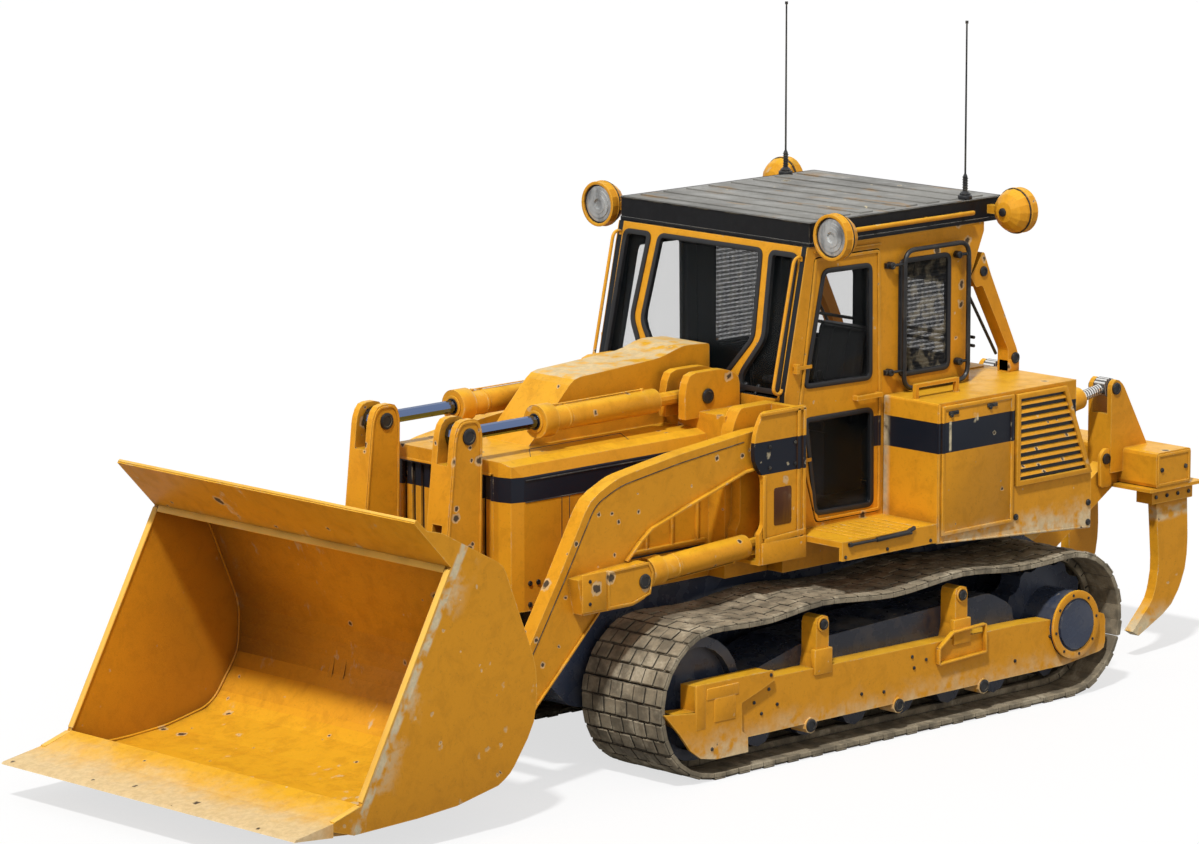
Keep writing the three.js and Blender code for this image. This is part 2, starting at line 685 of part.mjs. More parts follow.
function lampPair(y, facingFront) {
  const centre = [1123, y, 3453];
  const profile = [
    [0, -100], [70, -86], [122, -48], [150, 0], [158, 40], [158, 95], [138, 95], [138, 72], [0, 64],
  ].map(([radius, along]) => new THREE.Vector2(radius, along));
  const shade = new THREE.LatheGeometry(profile, 16);
  shade.rotateX(facingFront ? Math.PI : 0).translate(...centre);
  const arm = box(cabHalf + 2 + seat, 1020, y - 25, y + 25, 3420, 3480);
  return join(solid(shade), arm);
}

function antenna() {
  const foot = roofTop + seat;
  const profile = [
    [0, foot], [38, foot], [38, foot + 40], [16, foot + 60], [16, foot + 160], [7, foot + 180],
    [6, foot + antennaHeight - 20], [11, foot + antennaHeight - 20], [11, foot + antennaHeight - seat],
    [0, foot + antennaHeight - seat],
  ].map(([radius, z]) => new THREE.Vector2(radius, z));
  const rod = new THREE.LatheGeometry(profile, 8);
  return solid(rod.rotateX(Math.PI / 2).translate(865, 1600, 0));
}

// ---------------------------------------------------------------- lift arms
const bracketInner = 30; // thickness of the inner plate of a lift cylinder's bracket
const bracketOuter = 95; // thickness of its outer boss

function armLine() {
  return [
    [-656, 2195, 40], [-1337, 2127], [-1892, 2045, 60], [-2148, 1932, 90], [-2438, 1440], [-2709, 1014],
    [-3040, 560, 60], [bucketPivot[0] - 115, bucketPivot[1] + 30, 40],
    [bucketPivot[0] - 60, bucketPivot[1] - 110, 50], [bucketPivot[0] + 60, bucketPivot[1] - 110, 50],
    [-2638, 636], [-2075, 1173], [-1846, 1469, 60], [-1615, 1658, 60], [-1242, 1776], [-721, 1931],
    [-560, 1945, 50], [-420, 1960, 60], [-400, 2100, 60], [-470, 2200, 50],
  ];
}

function liftBracketLine() {
  return [
    [-2350, 1440], [-1700, 1480, 60], [-1650, 1400, 60], [-1680, 1250, 70], [-1850, 1200, 30], [-2300, 1200],
  ];
}

// Both arms, the tube that joins them, its lever brackets and the lift cylinders' brackets.
function liftArms() {
  const parts = [pin(crossTube, 90, -armInner - 1, armInner + 1, 24)];
  const bores = [];
  for (const side of [1, -1]) {
    const span = (a, b) => spanOn(side, a, b);
    parts.push(plate(armLine(), ...span(armInner, armOuter)));
    parts.push(pin(armPivot, 115, ...span(armCentre - towerGap + runGap, armCentre + towerGap - runGap)));
    parts.push(plate(liftBracketLine(), ...span(armInner - bracketInner, armInner + 1)));
    parts.push(plate(liftBracketLine(), ...span(armOuter - 1, armOuter + bracketOuter)));
    parts.push(plate([
      [crossTube[0] - 60, crossTube[1] - 40], [crossTube[0] + 60, crossTube[1]], [-2600, 1250],
      [leverPivot[0] + 75, leverPivot[1] + 30, 50], [leverPivot[0] - 60, leverPivot[1] + 60, 50],
      [leverPivot[0] - 60, leverPivot[1] - 60, 40], [-2720, 1150],
    ], ...span(leverCentre - 30, leverCentre + 30)));
    bores.push(bore(armPivot, armPinR, ...span(armInner - 100, armOuter + 100)));
    bores.push(bore(bucketPivot, bucketPinR, ...span(armInner - 1, armOuter + 1)));
    bores.push(bore(leverPivot, leverPinR, ...span(leverCentre - 31, leverCentre + 31)));
  }
  return cut(join(parts), bores);
}

// ---------------------------------------------------------------- bucket
const mouthBottom = [-4556, 372];
const mouthTop = [-3785, 1780];
const sideNose = -4790; // front corner of the side plates, under the lip
const bucketBack = [
  [edgeY, 198], [-4080, 213], [-3744, 237], [-3387, 308], [-3278, 367, 60], [-3057, 671, 120],
  [-3040, 1018, 120], [-3334, 1736, 60], [-3855, 2011], [-4006, 2048],
];

function bucketShell() {
  const band = [
    ...bucketBack.slice(0, 8),
    [mouthTop[0], mouthTop[1]], [mouthTop[0] + 4, mouthTop[1] - 42],
    [-3385, 1700, 40], [-3085, 1015, 110], [-3100, 690, 110], [-3305, 405, 60], [-3400, 346],
    [-3744, 275], [-4080, 251], [edgeY, 236],
  ];
  return plate(band, -bucketHalf, bucketHalf);
}

function bucket() {
  const sideLine = [
    [edgeY, 198], [sideNose, 248], [sideNose, 303], mouthBottom, mouthTop, [-3740, 1812],
    ...bucketBack.slice(1).reverse(),
  ];
  const parts = [bucketShell()];
  const guard = plate([[-3700, 1755], mouthTop, [-4100, 2106], [-4075, 2125], [-3740, 1812]],
    -bucketHalf, bucketHalf);
  parts.push(guard);
  for (const side of [1, -1]) {
    const span = (a, b) => spanOn(side, a, b);
    parts.push(plate(sideLine, ...span(bucketHalf - bucketWall, bucketHalf)));
    const hinge = [
      [-3300, 380], [-3080, 700], [bucketPivot[0] + 20, bucketPivot[1] + 110, 60],
      [bucketPivot[0] + 110, bucketPivot[1], 60], [bucketPivot[0] + 20, bucketPivot[1] - 110, 60],
    ];
    parts.push(plate(hinge, ...span(armInner - runGap - 40, armInner - runGap)));
    parts.push(plate(hinge, ...span(armOuter + runGap, armOuter + runGap + 40)));
    parts.push(pin(bucketPivot, bucketPinR, ...span(armInner - runGap - 1, armOuter + runGap + 1)));
    const lug = [
      [-3150, 590], [-3070, 900], [linkEnd[0] + 20, linkEnd[1] + 75, 40],
      [linkEnd[0] + 70, linkEnd[1], 40], [linkEnd[0] + 20, linkEnd[1] - 70, 40],
    ];
    parts.push(plate(lug, ...span(leverCentre - 75, leverCentre - 40)));
    parts.push(plate(lug, ...span(leverCentre + 40, leverCentre + 75)));
  }
  return join(parts);
}

// Wedge across the mouth, over the front of the floor, and wider ahead of the side plates.
function cuttingEdge() {
  const within = bucketHalf - bucketWall - seat;
  const wedge = plate([
    [lipY, 238], [edgeY - seat, 198], [edgeY - seat, 251 + seat], [-4480, 251 + seat],
    [-4500, 350], [mouthBottom[0], mouthBottom[1] + 8], [sideNose, 303], [lipY + 12, 252],
  ], -within, within);
  const nose = plate([
    [lipY, 238], [sideNose - seat, 212], [sideNose - seat, 303], [lipY + 12, 252],
  ], -bucketHalf, bucketHalf);
  return join(wedge, nose);
}

// ---------------------------------------------------------------- tilt linkage
function tiltLever() {
  const half = leverWidth / 2;
  const x0 = leverCentre - half;
  const x1 = leverCentre + half;
  const body = plate([
    [leverTop[0] - 125, leverTop[1] + 30, 60], [-2950, 1700, 60], [-2955, 1540, 60],
    [leverFoot[0] - 80, leverFoot[1] + 60], [leverFoot[0] - 70, leverFoot[1] - 75, 50],
    [leverFoot[0] + 70, leverFoot[1] - 75, 50], [leverFoot[0] + 75, leverFoot[1] + 80],
    [-2660, 1300, 60], [-2640, 1600, 60], [leverTop[0] + 120, leverTop[1] + 30, 60],
    [leverTop[0] + 80, leverTop[1] + 115, 50], [leverTop[0] - 80, leverTop[1] + 115, 50],
  ], x0, x1);
  const upper = box(leverCentre - leverSlot / 2, leverCentre + leverSlot / 2, -3000, -2500, 2180, 2600);
  const lower = box(leverCentre - 45, leverCentre + 45, -3100, -2400, 500, 1790);
  const pins = [[leverPivot, leverPinR], [leverFoot, linkPinR]]
    .map(([pivot, radius]) => pin(pivot, radius, leverCentre - 46, leverCentre + 46));
  return join(cut(body, upper, lower), pins);
}

function tiltLink() {
  const line = [
    [linkEnd[0] - 50, linkEnd[1] + 50, 40], [linkEnd[0] - 50, linkEnd[1] - 50, 40],
    [leverFoot[0] + 50, leverFoot[1] - 50, 40], [leverFoot[0] + 50, leverFoot[1] + 50, 40],
  ];
  return cut(plate(line, leverCentre - 30, leverCentre + 30),
    bore(leverFoot, linkPinR, leverCentre - 31, leverCentre + 31));
}

function barrel(from, to, x, start, length, radius, collar) {
  return turned([
    [start, radius], [length - 120, radius], [length - 120, collar], [length, collar],
  ], from, to, x);
}

function boredBarrel(from, to, x, eye, start, length, radius, collar, rodR, eyeHalf) {
  const shell = barrel(from, to, x, start, length, radius, collar);
  const chamber = turned([[start + 40, rodR + rodGap], [length + 5, rodR + rodGap]], from, to, x);
  const neck = turned([[0, eye * 0.55], [start + 5, eye * 0.55]], from, to, x);
  const foot = join(cut(shell, chamber), neck, pin(from, eye, x - eyeHalf, x + eyeHalf));
  return cut(foot, bore(from, basePinR, x - eyeHalf - 1, x + eyeHalf + 1));
}

// A rod that starts inside its barrel and ends in an eye on the pivot at its far end.
function rod(from, to, x, inside, rodR, eye, eyeHalf) {
  const reach = distance(from, to);
  const bar = turned([[inside, rodR], [reach - eye * 0.5, rodR]], from, to, x);
  return join(bar, pin(to, eye, x - eyeHalf, x + eyeHalf));
}

// ---------------------------------------------------------------- ripper
const beam = { front: 3560, rear: 3940, low: 1240, high: 1500, half: 970 };
const shoeRear = 4084; // rear edge of the plate under the beam
const shoeLow = 1215; // underside of that plate
const collarLow = 1120; // underside of the collars round the shanks
const tang = { front: 3650, rear: 3890, top: 1420 }; // the part of a shank inside the beam
const shankRear = 3990;
const shankX = [860, 0, -860];

function shankSockets() {
  return shankX.flatMap((x) => {
    const [x0, x1] = [x - shankHalf - seat, x + shankHalf + seat];
    return [
      box(x0, x1, tang.front - seat, tang.rear + seat, shoeLow - 1, tang.top + seat),
      box(x0, x1, tang.front - seat, shankRear + seat, collarLow - 1, shoeLow),
    ];
  });
}

function ripperBeam() {
  const body = plate([
    [beam.front, beam.low - 1, 30], [beam.rear, beam.low - 1, 30], [beam.rear, beam.high, 30],
    [beam.front, beam.high, 30],
  ], -beam.half, beam.half);
  const shoe = box(-beam.half, beam.half, beam.front - 60, shoeRear, shoeLow, beam.low);
  const collars = shankX.map((x) => box(
    x - shankHalf - 35, x + shankHalf + 35, tang.front - 90, shankRear + 15, collarLow, shoeLow + 1));
  const parts = [cut(join(body, shoe, collars), shankSockets())];
  const bores = [];
  for (const side of [1, -1]) {
    const span = (a, b) => spanOn(side, a, b);
    parts.push(plate([
      [ripperPivot[0] - 100, ripperPivot[1] + 20, 70], [ripperPivot[0] + 20, ripperPivot[1] - 100, 70],
      [2750, 760], [beam.front + 5, beam.low + 10], [beam.front + 5, beam.high - 20], [2700, 960],
      [ripperPivot[0] - 20, ripperPivot[1] + 100, 70],
    ], ...span(ripperCentre - 60, ripperCentre + 60)));
    const earFront = ripperEnd[0] - 50;
    const ear = [
      [earFront, 1330], [3620, 1330], [3830, beam.high - 10], [ripperEnd[0] + 75, ripperEnd[1] + 30, 50],
      [ripperEnd[0], ripperEnd[1] + 75, 50], [earFront, ripperEnd[1] + 30, 30],
    ];
    const inside = ripperCentre - clevisHalf;
    const outside = ripperCentre + clevisHalf;
    parts.push(plate(ear, ...span(inside - lugThick, inside)));
    parts.push(plate(ear, ...span(outside, outside + lugThick)));
    parts.push(box(...span(inside - 1, outside + 1), earFront, earFront + 30, 1330, 1760));
    bores.push(bore(ripperPivot, ripperPinR, ...span(ripperCentre - 61, ripperCentre + 61)));
  }
  return cut(join(parts), bores);
}

function ripperShank(x) {
  return plate([
    [tang.front, tang.top], [tang.front, 1100], [3668, 880], [3690, 610, 120], [3629, 408, 60],
    [3409, 199], [3475, 160], [3847, 331, 120], [3988, 583, 120], [4004, 800, 60],
    [shankRear, 1100], [shankRear, shoeLow - seat], [tang.rear, shoeLow - seat], [tang.rear, tang.top],
  ], x - shankHalf, x + shankHalf);
}

// ---------------------------------------------------------------- assembly
addPair('track', track(), paint.rubber);
addPair('idler', idler(), paint.navy);
addPair('final_drive', finalDrive(), paint.navy);
addPair('track_frame', trackFrame(), paint.navy);
addPair('roller_guard', rollerGuard(), paint.yellow);
add('main_frame', mainFrame(), paint.navy);
add('engine_hood', hood(), paint.yellow);
add('grille', grille(), paint.yellow);
add('engine_block', engineBlock(), paint.navy);
add('loader_frame', loaderFrame(), paint.yellow);
add('platform', platform(), paint.yellow);
addPair('cab_side', cabSide(), paint.yellow);
addPair('door', door(), paint.yellow);
add('cab_front', cabFront(), paint.yellow);
add('cab_back', cabBack(), paint.yellow);
add('cab_roof', roof(), paint.roof);
add('operator_seat', seatPiece(), paint.cloth);
add('console', console(), paint.shade);
addPair('side_box', sideBox(), paint.yellow);
add('rear_deck', rearDeck(), paint.yellow);
addPair('roof_brace', roofBrace(), paint.yellow);
addPair('front_lamp', lampPair(76, true), paint.yellow);
addPair('rear_lamp', lampPair(1800, false), paint.yellow);
addPair('antenna', antenna(), paint.shade);
add('lift_arms', liftArms(), paint.yellow);
add('bucket', bucket(), paint.yellow);
add('cutting_edge', cuttingEdge(), paint.worn);
addPair('tilt_lever', tiltLever(), paint.yellow);
addPair('tilt_link', tiltLink(), paint.yellow);
addPair('tilt_barrel',
  boredBarrel(tiltBase, leverTop, leverCentre, 85, 390, 1480, tiltBarrelR, 110, tiltRodR, bracketGap - runGap), paint.yellow);
addPair('tilt_rod', rod(tiltBase, leverTop, leverCentre, 760, tiltRodR, 85, leverSlot / 2 - runGap), paint.steel);
addPair('lift_barrel',
  boredBarrel(liftBase, liftEnd, armCentre, 80, 260, 1190, liftBarrelR, 100, liftRodR, towerGap - runGap),
  paint.yellow);
addPair('lift_rod', rod(liftBase, liftEnd, armCentre, 340, liftRodR, 85, 47), paint.steel);
add('ripper_beam', ripperBeam(), paint.yellow);
shankX.forEach((x, index) => {
  add(`ripper_shank_${['left', 'middle', 'right'][index]}`, ripperShank(x), paint.yellow);
});
addPair('ripper_barrel',
  boredBarrel(ripperBase, ripperEnd, ripperCentre, 80, 90, 700, ripperBarrelR, 80, ripperRodR, 50),
  paint.yellow);
addPair('ripper_rod', rod(ripperBase, ripperEnd, ripperCentre, 340, ripperRodR, 70, 50), paint.steel);

group.position.y = -(lipY + shoeRear) / 2;

export default group;
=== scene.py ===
"""Looks of a crawler loader with a front bucket and a rear ripper.

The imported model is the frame. Each step below adds pieces or finishes to it, and the
steps are listed in the sidebar of the 3D view in the order in which they are run.
"""

import math

import bpy
from bpy.props import FloatProperty, FloatVectorProperty, IntProperty, PointerProperty
from mathutils import Matrix, Vector


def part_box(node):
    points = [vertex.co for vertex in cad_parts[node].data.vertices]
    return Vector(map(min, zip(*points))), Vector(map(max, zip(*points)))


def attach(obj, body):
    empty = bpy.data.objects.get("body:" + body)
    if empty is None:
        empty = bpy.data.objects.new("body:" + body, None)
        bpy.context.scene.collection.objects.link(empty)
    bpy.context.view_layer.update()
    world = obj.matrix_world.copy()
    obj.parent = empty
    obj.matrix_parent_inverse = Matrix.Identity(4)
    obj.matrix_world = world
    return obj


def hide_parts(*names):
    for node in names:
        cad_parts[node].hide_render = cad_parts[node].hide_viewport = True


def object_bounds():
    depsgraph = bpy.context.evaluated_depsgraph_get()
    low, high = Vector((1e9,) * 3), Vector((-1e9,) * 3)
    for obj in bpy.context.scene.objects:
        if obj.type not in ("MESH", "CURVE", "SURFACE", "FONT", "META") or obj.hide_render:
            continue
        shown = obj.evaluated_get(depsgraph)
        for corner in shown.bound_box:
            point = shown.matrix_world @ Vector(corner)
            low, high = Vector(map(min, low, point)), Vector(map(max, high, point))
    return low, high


bl_info = {
    "name": "Crawler loader looks",
    "version": (1, 0, 0),
    "blender": (4, 5, 0),
    "location": "View3D > Sidebar > Loader",
    "description": "Paint, tracks, glass and fittings of a crawler loader with a ripper",
    "category": "Object",
}

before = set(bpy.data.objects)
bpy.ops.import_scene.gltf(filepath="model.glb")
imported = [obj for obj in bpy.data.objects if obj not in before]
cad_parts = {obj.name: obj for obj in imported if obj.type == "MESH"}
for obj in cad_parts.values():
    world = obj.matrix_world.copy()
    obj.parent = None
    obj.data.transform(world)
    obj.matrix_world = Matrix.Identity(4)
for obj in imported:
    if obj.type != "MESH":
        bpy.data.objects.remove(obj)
CAD_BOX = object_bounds()
ROOF_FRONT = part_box("cab_roof")[0].y
SIDES = {"left": 1, "right": -1}
LEFT, UP = Vector((1, 0, 0)), Vector((0, 0, 1))
BUCKET_MOUTH = Vector((0, -0.8774, 0.4797))  # the way the bucket's mouth faces
DISH = 0.004  # depth of the recess in a cap
PIN_CAP = 0.016  # height of the cap on a pin


def at(x, y, z):
    """A point whose y is counted from the front edge of the cab roof."""
    return Vector((x, ROOF_FRONT + y, z))


def profile(x, line):
    """A line of (y, z) places, all at one distance across the machine."""
    return [at(x, y, z) for y, z in line]


def circle(middle, radius, count, first=(0, 1, 0), second=UP):
    """Points round a middle, from the first direction towards the second."""
    turns = [2 * math.pi * step / count for step in range(count)]
    return [middle + (Vector(first) * math.cos(turn) + second * math.sin(turn)) * radius for turn in turns]


# ---------------------------------------------------------------- sizes and colours
def length(name, description, default):
    return FloatProperty(name=name, description=description, default=default, unit="LENGTH", precision=4)


def colour(name, description, default):
    return FloatVectorProperty(
        name=name, description=description, default=default, size=3, min=0, max=1, subtype="COLOR")


class LoaderSizes(bpy.types.PropertyGroup):
    """Sizes of the fittings that are added to the frame."""

    seal: length("Window seal", "Thickness of the rubber round a pane", 0.026)
    glass: length("Glass", "Thickness of a pane", 0.008)
    guard_bar: length("Guard bar", "Diameter of the tube round a window guard", 0.034)
    mesh_wire: length("Guard mesh", "Diameter of the wires of a window guard", 0.005)
    tread_tile: length("Tread tile", "Height of the tiles on a track shoe", 0.016)
    tile_gap: length("Tile gap", "Groove between two tiles of a track shoe", 0.011)
    tile_count: IntProperty(name="Tiles", description="Tiles across a track shoe", default=7, min=3, max=12)
    slat: length("Slat", "Depth of a louvre slat", 0.052)
    edge_wear: length("Edge wear", "Width of the worn band along an edge", 0.014)


class LoaderColours(bpy.types.PropertyGroup):
    """Colours of the finishes."""

    yellow: colour("Yellow paint", "Main paint", (0.84, 0.385, 0.020))
    # Painted light: the lighter colour of faces that point up.
    painted_top_light: colour("Faded tops", "Paint that the sun has faded", (0.90, 0.53, 0.026))
    # Painted highlight along edges; also the colour of the bright strips.
    bright: colour("Bright edge", "Paint rubbed light along an edge", (0.93, 0.55, 0.10))
    # Amber is used for random deeper patches and streaks, and also as painted shade on sides and undersides.
    amber_tone_and_shade: colour("Amber shade", "Deeper patches of the main paint", (0.71, 0.295, 0.014))
    cream: colour("Cream wear", "Undercoat that shows through", (0.80, 0.68, 0.44))
    bare: colour("Bare steel", "Dark centre of a chip", (0.085, 0.060, 0.038))
    # Dirt specks and corner dirt, and also painted shade in corners and in deep hollows.
    grime_and_shade: colour("Grime", "Dirt in corners", (0.105, 0.045, 0.010))
    navy: colour("Navy band", "Painted band and undercarriage", (0.0105, 0.0135, 0.022))
    black: colour("Black", "Rims, caps and seals", (0.006, 0.0065, 0.008))
    lining: colour("Cab lining", "Dark inside of the cab", (0.009, 0.012, 0.016))
    roof: colour("Roof top", "Grey roof plate", (0.275, 0.270, 0.250))
    pads: colour("Track pads", "Dusty shoes", (0.31, 0.255, 0.170))
    dust: colour("Dust", "Dry earth on the tracks", (0.56, 0.48, 0.34))
    rod: colour("Rod", "Polished cylinder rod", (0.035, 0.055, 0.10))
    glass: colour("Glass tint", "Dark side of the glass", (0.010, 0.014, 0.016))


# ---------------------------------------------------------------- modelling helpers
def clear():
    """Leaves edit mode and deselects everything."""
    if bpy.context.object and bpy.context.object.mode != "OBJECT":
        bpy.ops.object.mode_set(mode="OBJECT")
    bpy.ops.object.select_all(action="DESELECT")


def chosen(piece):
    clear()
    piece.select_set(True)
    bpy.context.view_layer.objects.active = piece
    return piece


def settled(piece):
    """Moves the piece's place, turn and scale into its mesh."""
    chosen(piece)
    bpy.ops.object.transform_apply(location=True, rotation=True, scale=True)
    return piece


def modified(piece, kind, **settings):
    """Adds a modifier with these settings and applies it."""
    chosen(piece)
    bpy.ops.object.modifier_add(type=kind)
    modifier = piece.modifiers[-1]
    for name, value in settings.items():
        setattr(modifier, name, value)
    bpy.ops.object.modifier_apply(modifier=modifier.name)
    return piece


def outwards(piece):
    """Merges doubled points and turns every face outwards."""
    chosen(piece)
    bpy.ops.object.mode_set(mode="EDIT")
    bpy.ops.mesh.select_all(action="SELECT")
    bpy.ops.mesh.remove_doubles(threshold=1e-5)
    bpy.ops.mesh.normals_make_consistent(inside=False)
    bpy.ops.object.mode_set(mode="OBJECT")
    return piece


def eased(piece, width, segments=2):
    """Rounds the sharp edges of a piece."""
    return modified(piece, "BEVEL", width=width, segments=segments, limit_method="ANGLE",
                    angle_limit=math.radians(32))


def block(low, high, edge=0.004, segments=2):
    """A box with rounded edges between two corners."""
    clear()
    low, high = Vector(low), Vector(high)
    bpy.ops.mesh.primitive_cube_add(size=1, location=(low + high) / 2)
    piece = bpy.context.object
    piece.scale = [abs(side) for side in high - low]
    return eased(settled(piece), edge, segments)


def bar(start, end, width, depth, edge=0.003, side=(1, 0, 0)):
    """A flat bar from one point to another; its width lies along side."""
    clear()
    start, end = Vector(start), Vector(end)
    along = (end - start).normalized()
    face = Vector(side).cross(along).normalized()
    across = along.cross(face)
    bpy.ops.mesh.primitive_cube_add(size=1)
    piece = bpy.context.object
    turn = Matrix((across, along, face)).transposed().to_4x4()
    size = Matrix.Diagonal((width, (end - start).length, depth, 1))
    piece.matrix_world = Matrix.Translation((start + end) / 2) @ turn @ size
    return eased(settled(piece), edge)


def drum(start, end, radius, edge=0.004, sides=28):
    """A round bar or disc with rounded rims between two points."""
    clear()
    start, end = Vector(start), Vector(end)
    bpy.ops.mesh.primitive_cylinder_add(
        vertices=sides, radius=radius, depth=(end - start).length, location=(start + end) / 2,
        rotation=(end - start).to_track_quat("Z", "Y").to_euler())
    return eased(settled(bpy.context.object), edge)


def dished(piece, direction, steps):
    """Insets the end of a piece that faces a direction, then pushes it along; steps are (inset, push)."""
    direction = Vector(direction).normalized()
    chosen(piece)
    bpy.ops.object.mode_set(mode="EDIT")
    bpy.ops.mesh.select_mode(type="FACE")
    bpy.ops.mesh.select_all(action="DESELECT")
    bpy.ops.object.mode_set(mode="OBJECT")
    facing = [face for face in piece.data.polygons if face.normal.dot(direction) > 0.99]
    outermost = max(face.center.dot(direction) for face in facing)
    for face in facing:
        face.select = face.center.dot(direction) > outermost - 1e-4
    bpy.ops.object.mode_set(mode="EDIT")
    for inset, push in steps:
        if inset:
            bpy.ops.mesh.inset(thickness=inset)
        if push:
            bpy.ops.mesh.extrude_region_move(TRANSFORM_OT_translate={"value": direction * push})
    bpy.ops.object.mode_set(mode="OBJECT")
    return piece


def plain(points, corner=None, steps=4):
    """The points of an outline with its corners rounded."""
    rounded = []
    for index, point in enumerate(points):
        before, after = points[index - 1], points[(index + 1) % len(points)]
        radius = min(corner or 0, (before - point).length * 0.49, (after - point).length * 0.49)
        if radius <= 0:
            rounded.append(point)
            continue
        enter = point + (before - point).normalized() * radius
        leave = point + (after - point).normalized() * radius
        for step in range(steps + 1):
            share = step / steps
            rounded.append(enter * (1 - share) ** 2 + point * 2 * share * (1 - share) + leave * share ** 2)
    return rounded


def plain_open(points, corner, steps=5):
    """The points of an open line with its inner corners rounded."""
    return [points[0], *plain(points, corner, steps)[steps + 1:-(steps + 1)], points[-1]]


def grown(points, margin):
    """A closed outline in one plane, moved outwards by a margin."""
    normal = sum(((points[i] - points[0]).cross(points[i + 1] - points[0]) for i in range(1, len(points) - 1)),
                 Vector()).normalized()
    made = []
    for index, point in enumerate(points):
        into = (point - points[index - 1]).normalized().cross(normal)
        out_of = (points[(index + 1) % len(points)] - point).normalized().cross(normal)
        half = (into + out_of).normalized()
        made.append(point + half * margin / max(0.3, half.dot(into)))
    return made


def plate(points, thickness, edge=0.0, toward=0.0):
    """A flat plate with any outline, thickened about its outline's plane."""
    clear()
    bpy.ops.mesh.primitive_circle_add(vertices=len(points), fill_type="NGON")
    piece = bpy.context.object
    for vertex, point in zip(piece.data.vertices, points):
        vertex.co = point
    modified(piece, "SOLIDIFY", thickness=thickness, offset=toward)
    outwards(piece)
    return eased(piece, edge) if edge else piece


def surround(points, width, thickness, edge=0.003):
    """A flat frame of one width inside an outline."""
    clear()
    bpy.ops.mesh.primitive_circle_add(vertices=len(points), fill_type="NGON")
    piece = bpy.context.object
    for vertex, point in zip(piece.data.vertices, points):
        vertex.co = point
    bpy.ops.object.mode_set(mode="EDIT")
    bpy.ops.mesh.select_mode(type="FACE")
    bpy.ops.mesh.select_all(action="SELECT")
    bpy.ops.mesh.inset(thickness=width)
    bpy.ops.mesh.delete(type="FACE")
    bpy.ops.object.mode_set(mode="OBJECT")
    modified(piece, "SOLIDIFY", thickness=thickness, offset=0)
    return eased(outwards(piece), edge)


def tube(points, radius, closed=False, rings=2):
    """A round tube through points."""
    clear()
    bpy.ops.curve.primitive_nurbs_path_add()
    piece = bpy.context.object
    curve = piece.data
    curve.splines.clear()
    line = curve.splines.new("POLY")
    line.points.add(len(points) - 1)
    for place, point in zip(line.points, points):
        place.co = (*point, 1)
    line.use_cyclic_u = closed
    curve.dimensions = "3D"
    curve.bevel_depth = radius
    curve.bevel_resolution = rings
    curve.use_fill_caps = not closed
    bpy.ops.object.convert(target="MESH")
    return outwards(bpy.context.object)


def copied(piece, place):
    """A copy with its own mesh, placed by a matrix."""
    chosen(piece)
    bpy.ops.object.duplicate()
    twin = bpy.context.object
    twin.matrix_world = place
    return settled(twin)


def mirrored(piece):
    """The piece's mirror image across the machine."""
    return outwards(copied(piece, Matrix.Diagonal((-1, 1, 1, 1))))


def coated(pieces, finish):
    """Gives loose pieces their finish."""
    for piece in pieces:
        piece.data.materials.clear()
        piece.data.materials.append(bpy.data.materials[finish])
    return pieces


def gathered(name, pieces, body, slot, finish=None, smooth=35):
    """Joins pieces into one, which rides on a body and takes the given finish, if any; slot is not used."""
    if finish:
        coated(pieces, finish)
    clear()
    for piece in pieces:
        piece.select_set(True)
    bpy.context.view_layer.objects.active = pieces[0]
    if len(pieces) > 1:
        bpy.ops.object.join()
    piece = bpy.context.object
    piece.name = piece.data.name = name
    settled(piece)
    bpy.ops.object.shade_smooth_by_angle(angle=math.radians(smooth))
    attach(piece, body)
    return piece


def pair(name, pieces, body, slot, finish, smooth=35):
    """The pieces joined on the left side, and their mirror image on the right."""
    twins = [mirrored(piece) for piece in pieces]
    for side, group in zip(SIDES, (pieces, twins)):
        gathered(f"{name}_{side}", group, body.format(side=side), slot, finish, smooth)


def bolts(points, direction, radius, tall=0.012):
    """Round-headed bolts standing on a face."""
    direction = Vector(direction)
    first = drum(points[0] - direction * 0.004, points[0] + direction * tall, radius, radius * 0.3, 10)
    dished(first, direction, [(radius * 0.35, -tall * 0.3)])
    return [first] + [copied(first, Matrix.Translation(point - points[0])) for point in points[1:]]


def disc(foot, direction, tall, radius, dish, edge=0.005, sides=24):
    """A round cap standing on a face; dish is the inset and push of its end."""
    direction = Vector(direction)
    return dished(drum(foot, foot + direction * tall, radius, edge, sides), direction, [dish])


def pin_cap(x, y, z, facing, radius, inset=0.010, sides=24):
    """The recessed cap on one end of a pin that lies across the machine."""
    return disc(at(x - facing * 0.004, y, z), (facing, 0, 0), PIN_CAP, radius, (inset, -DISH), sides=sides)


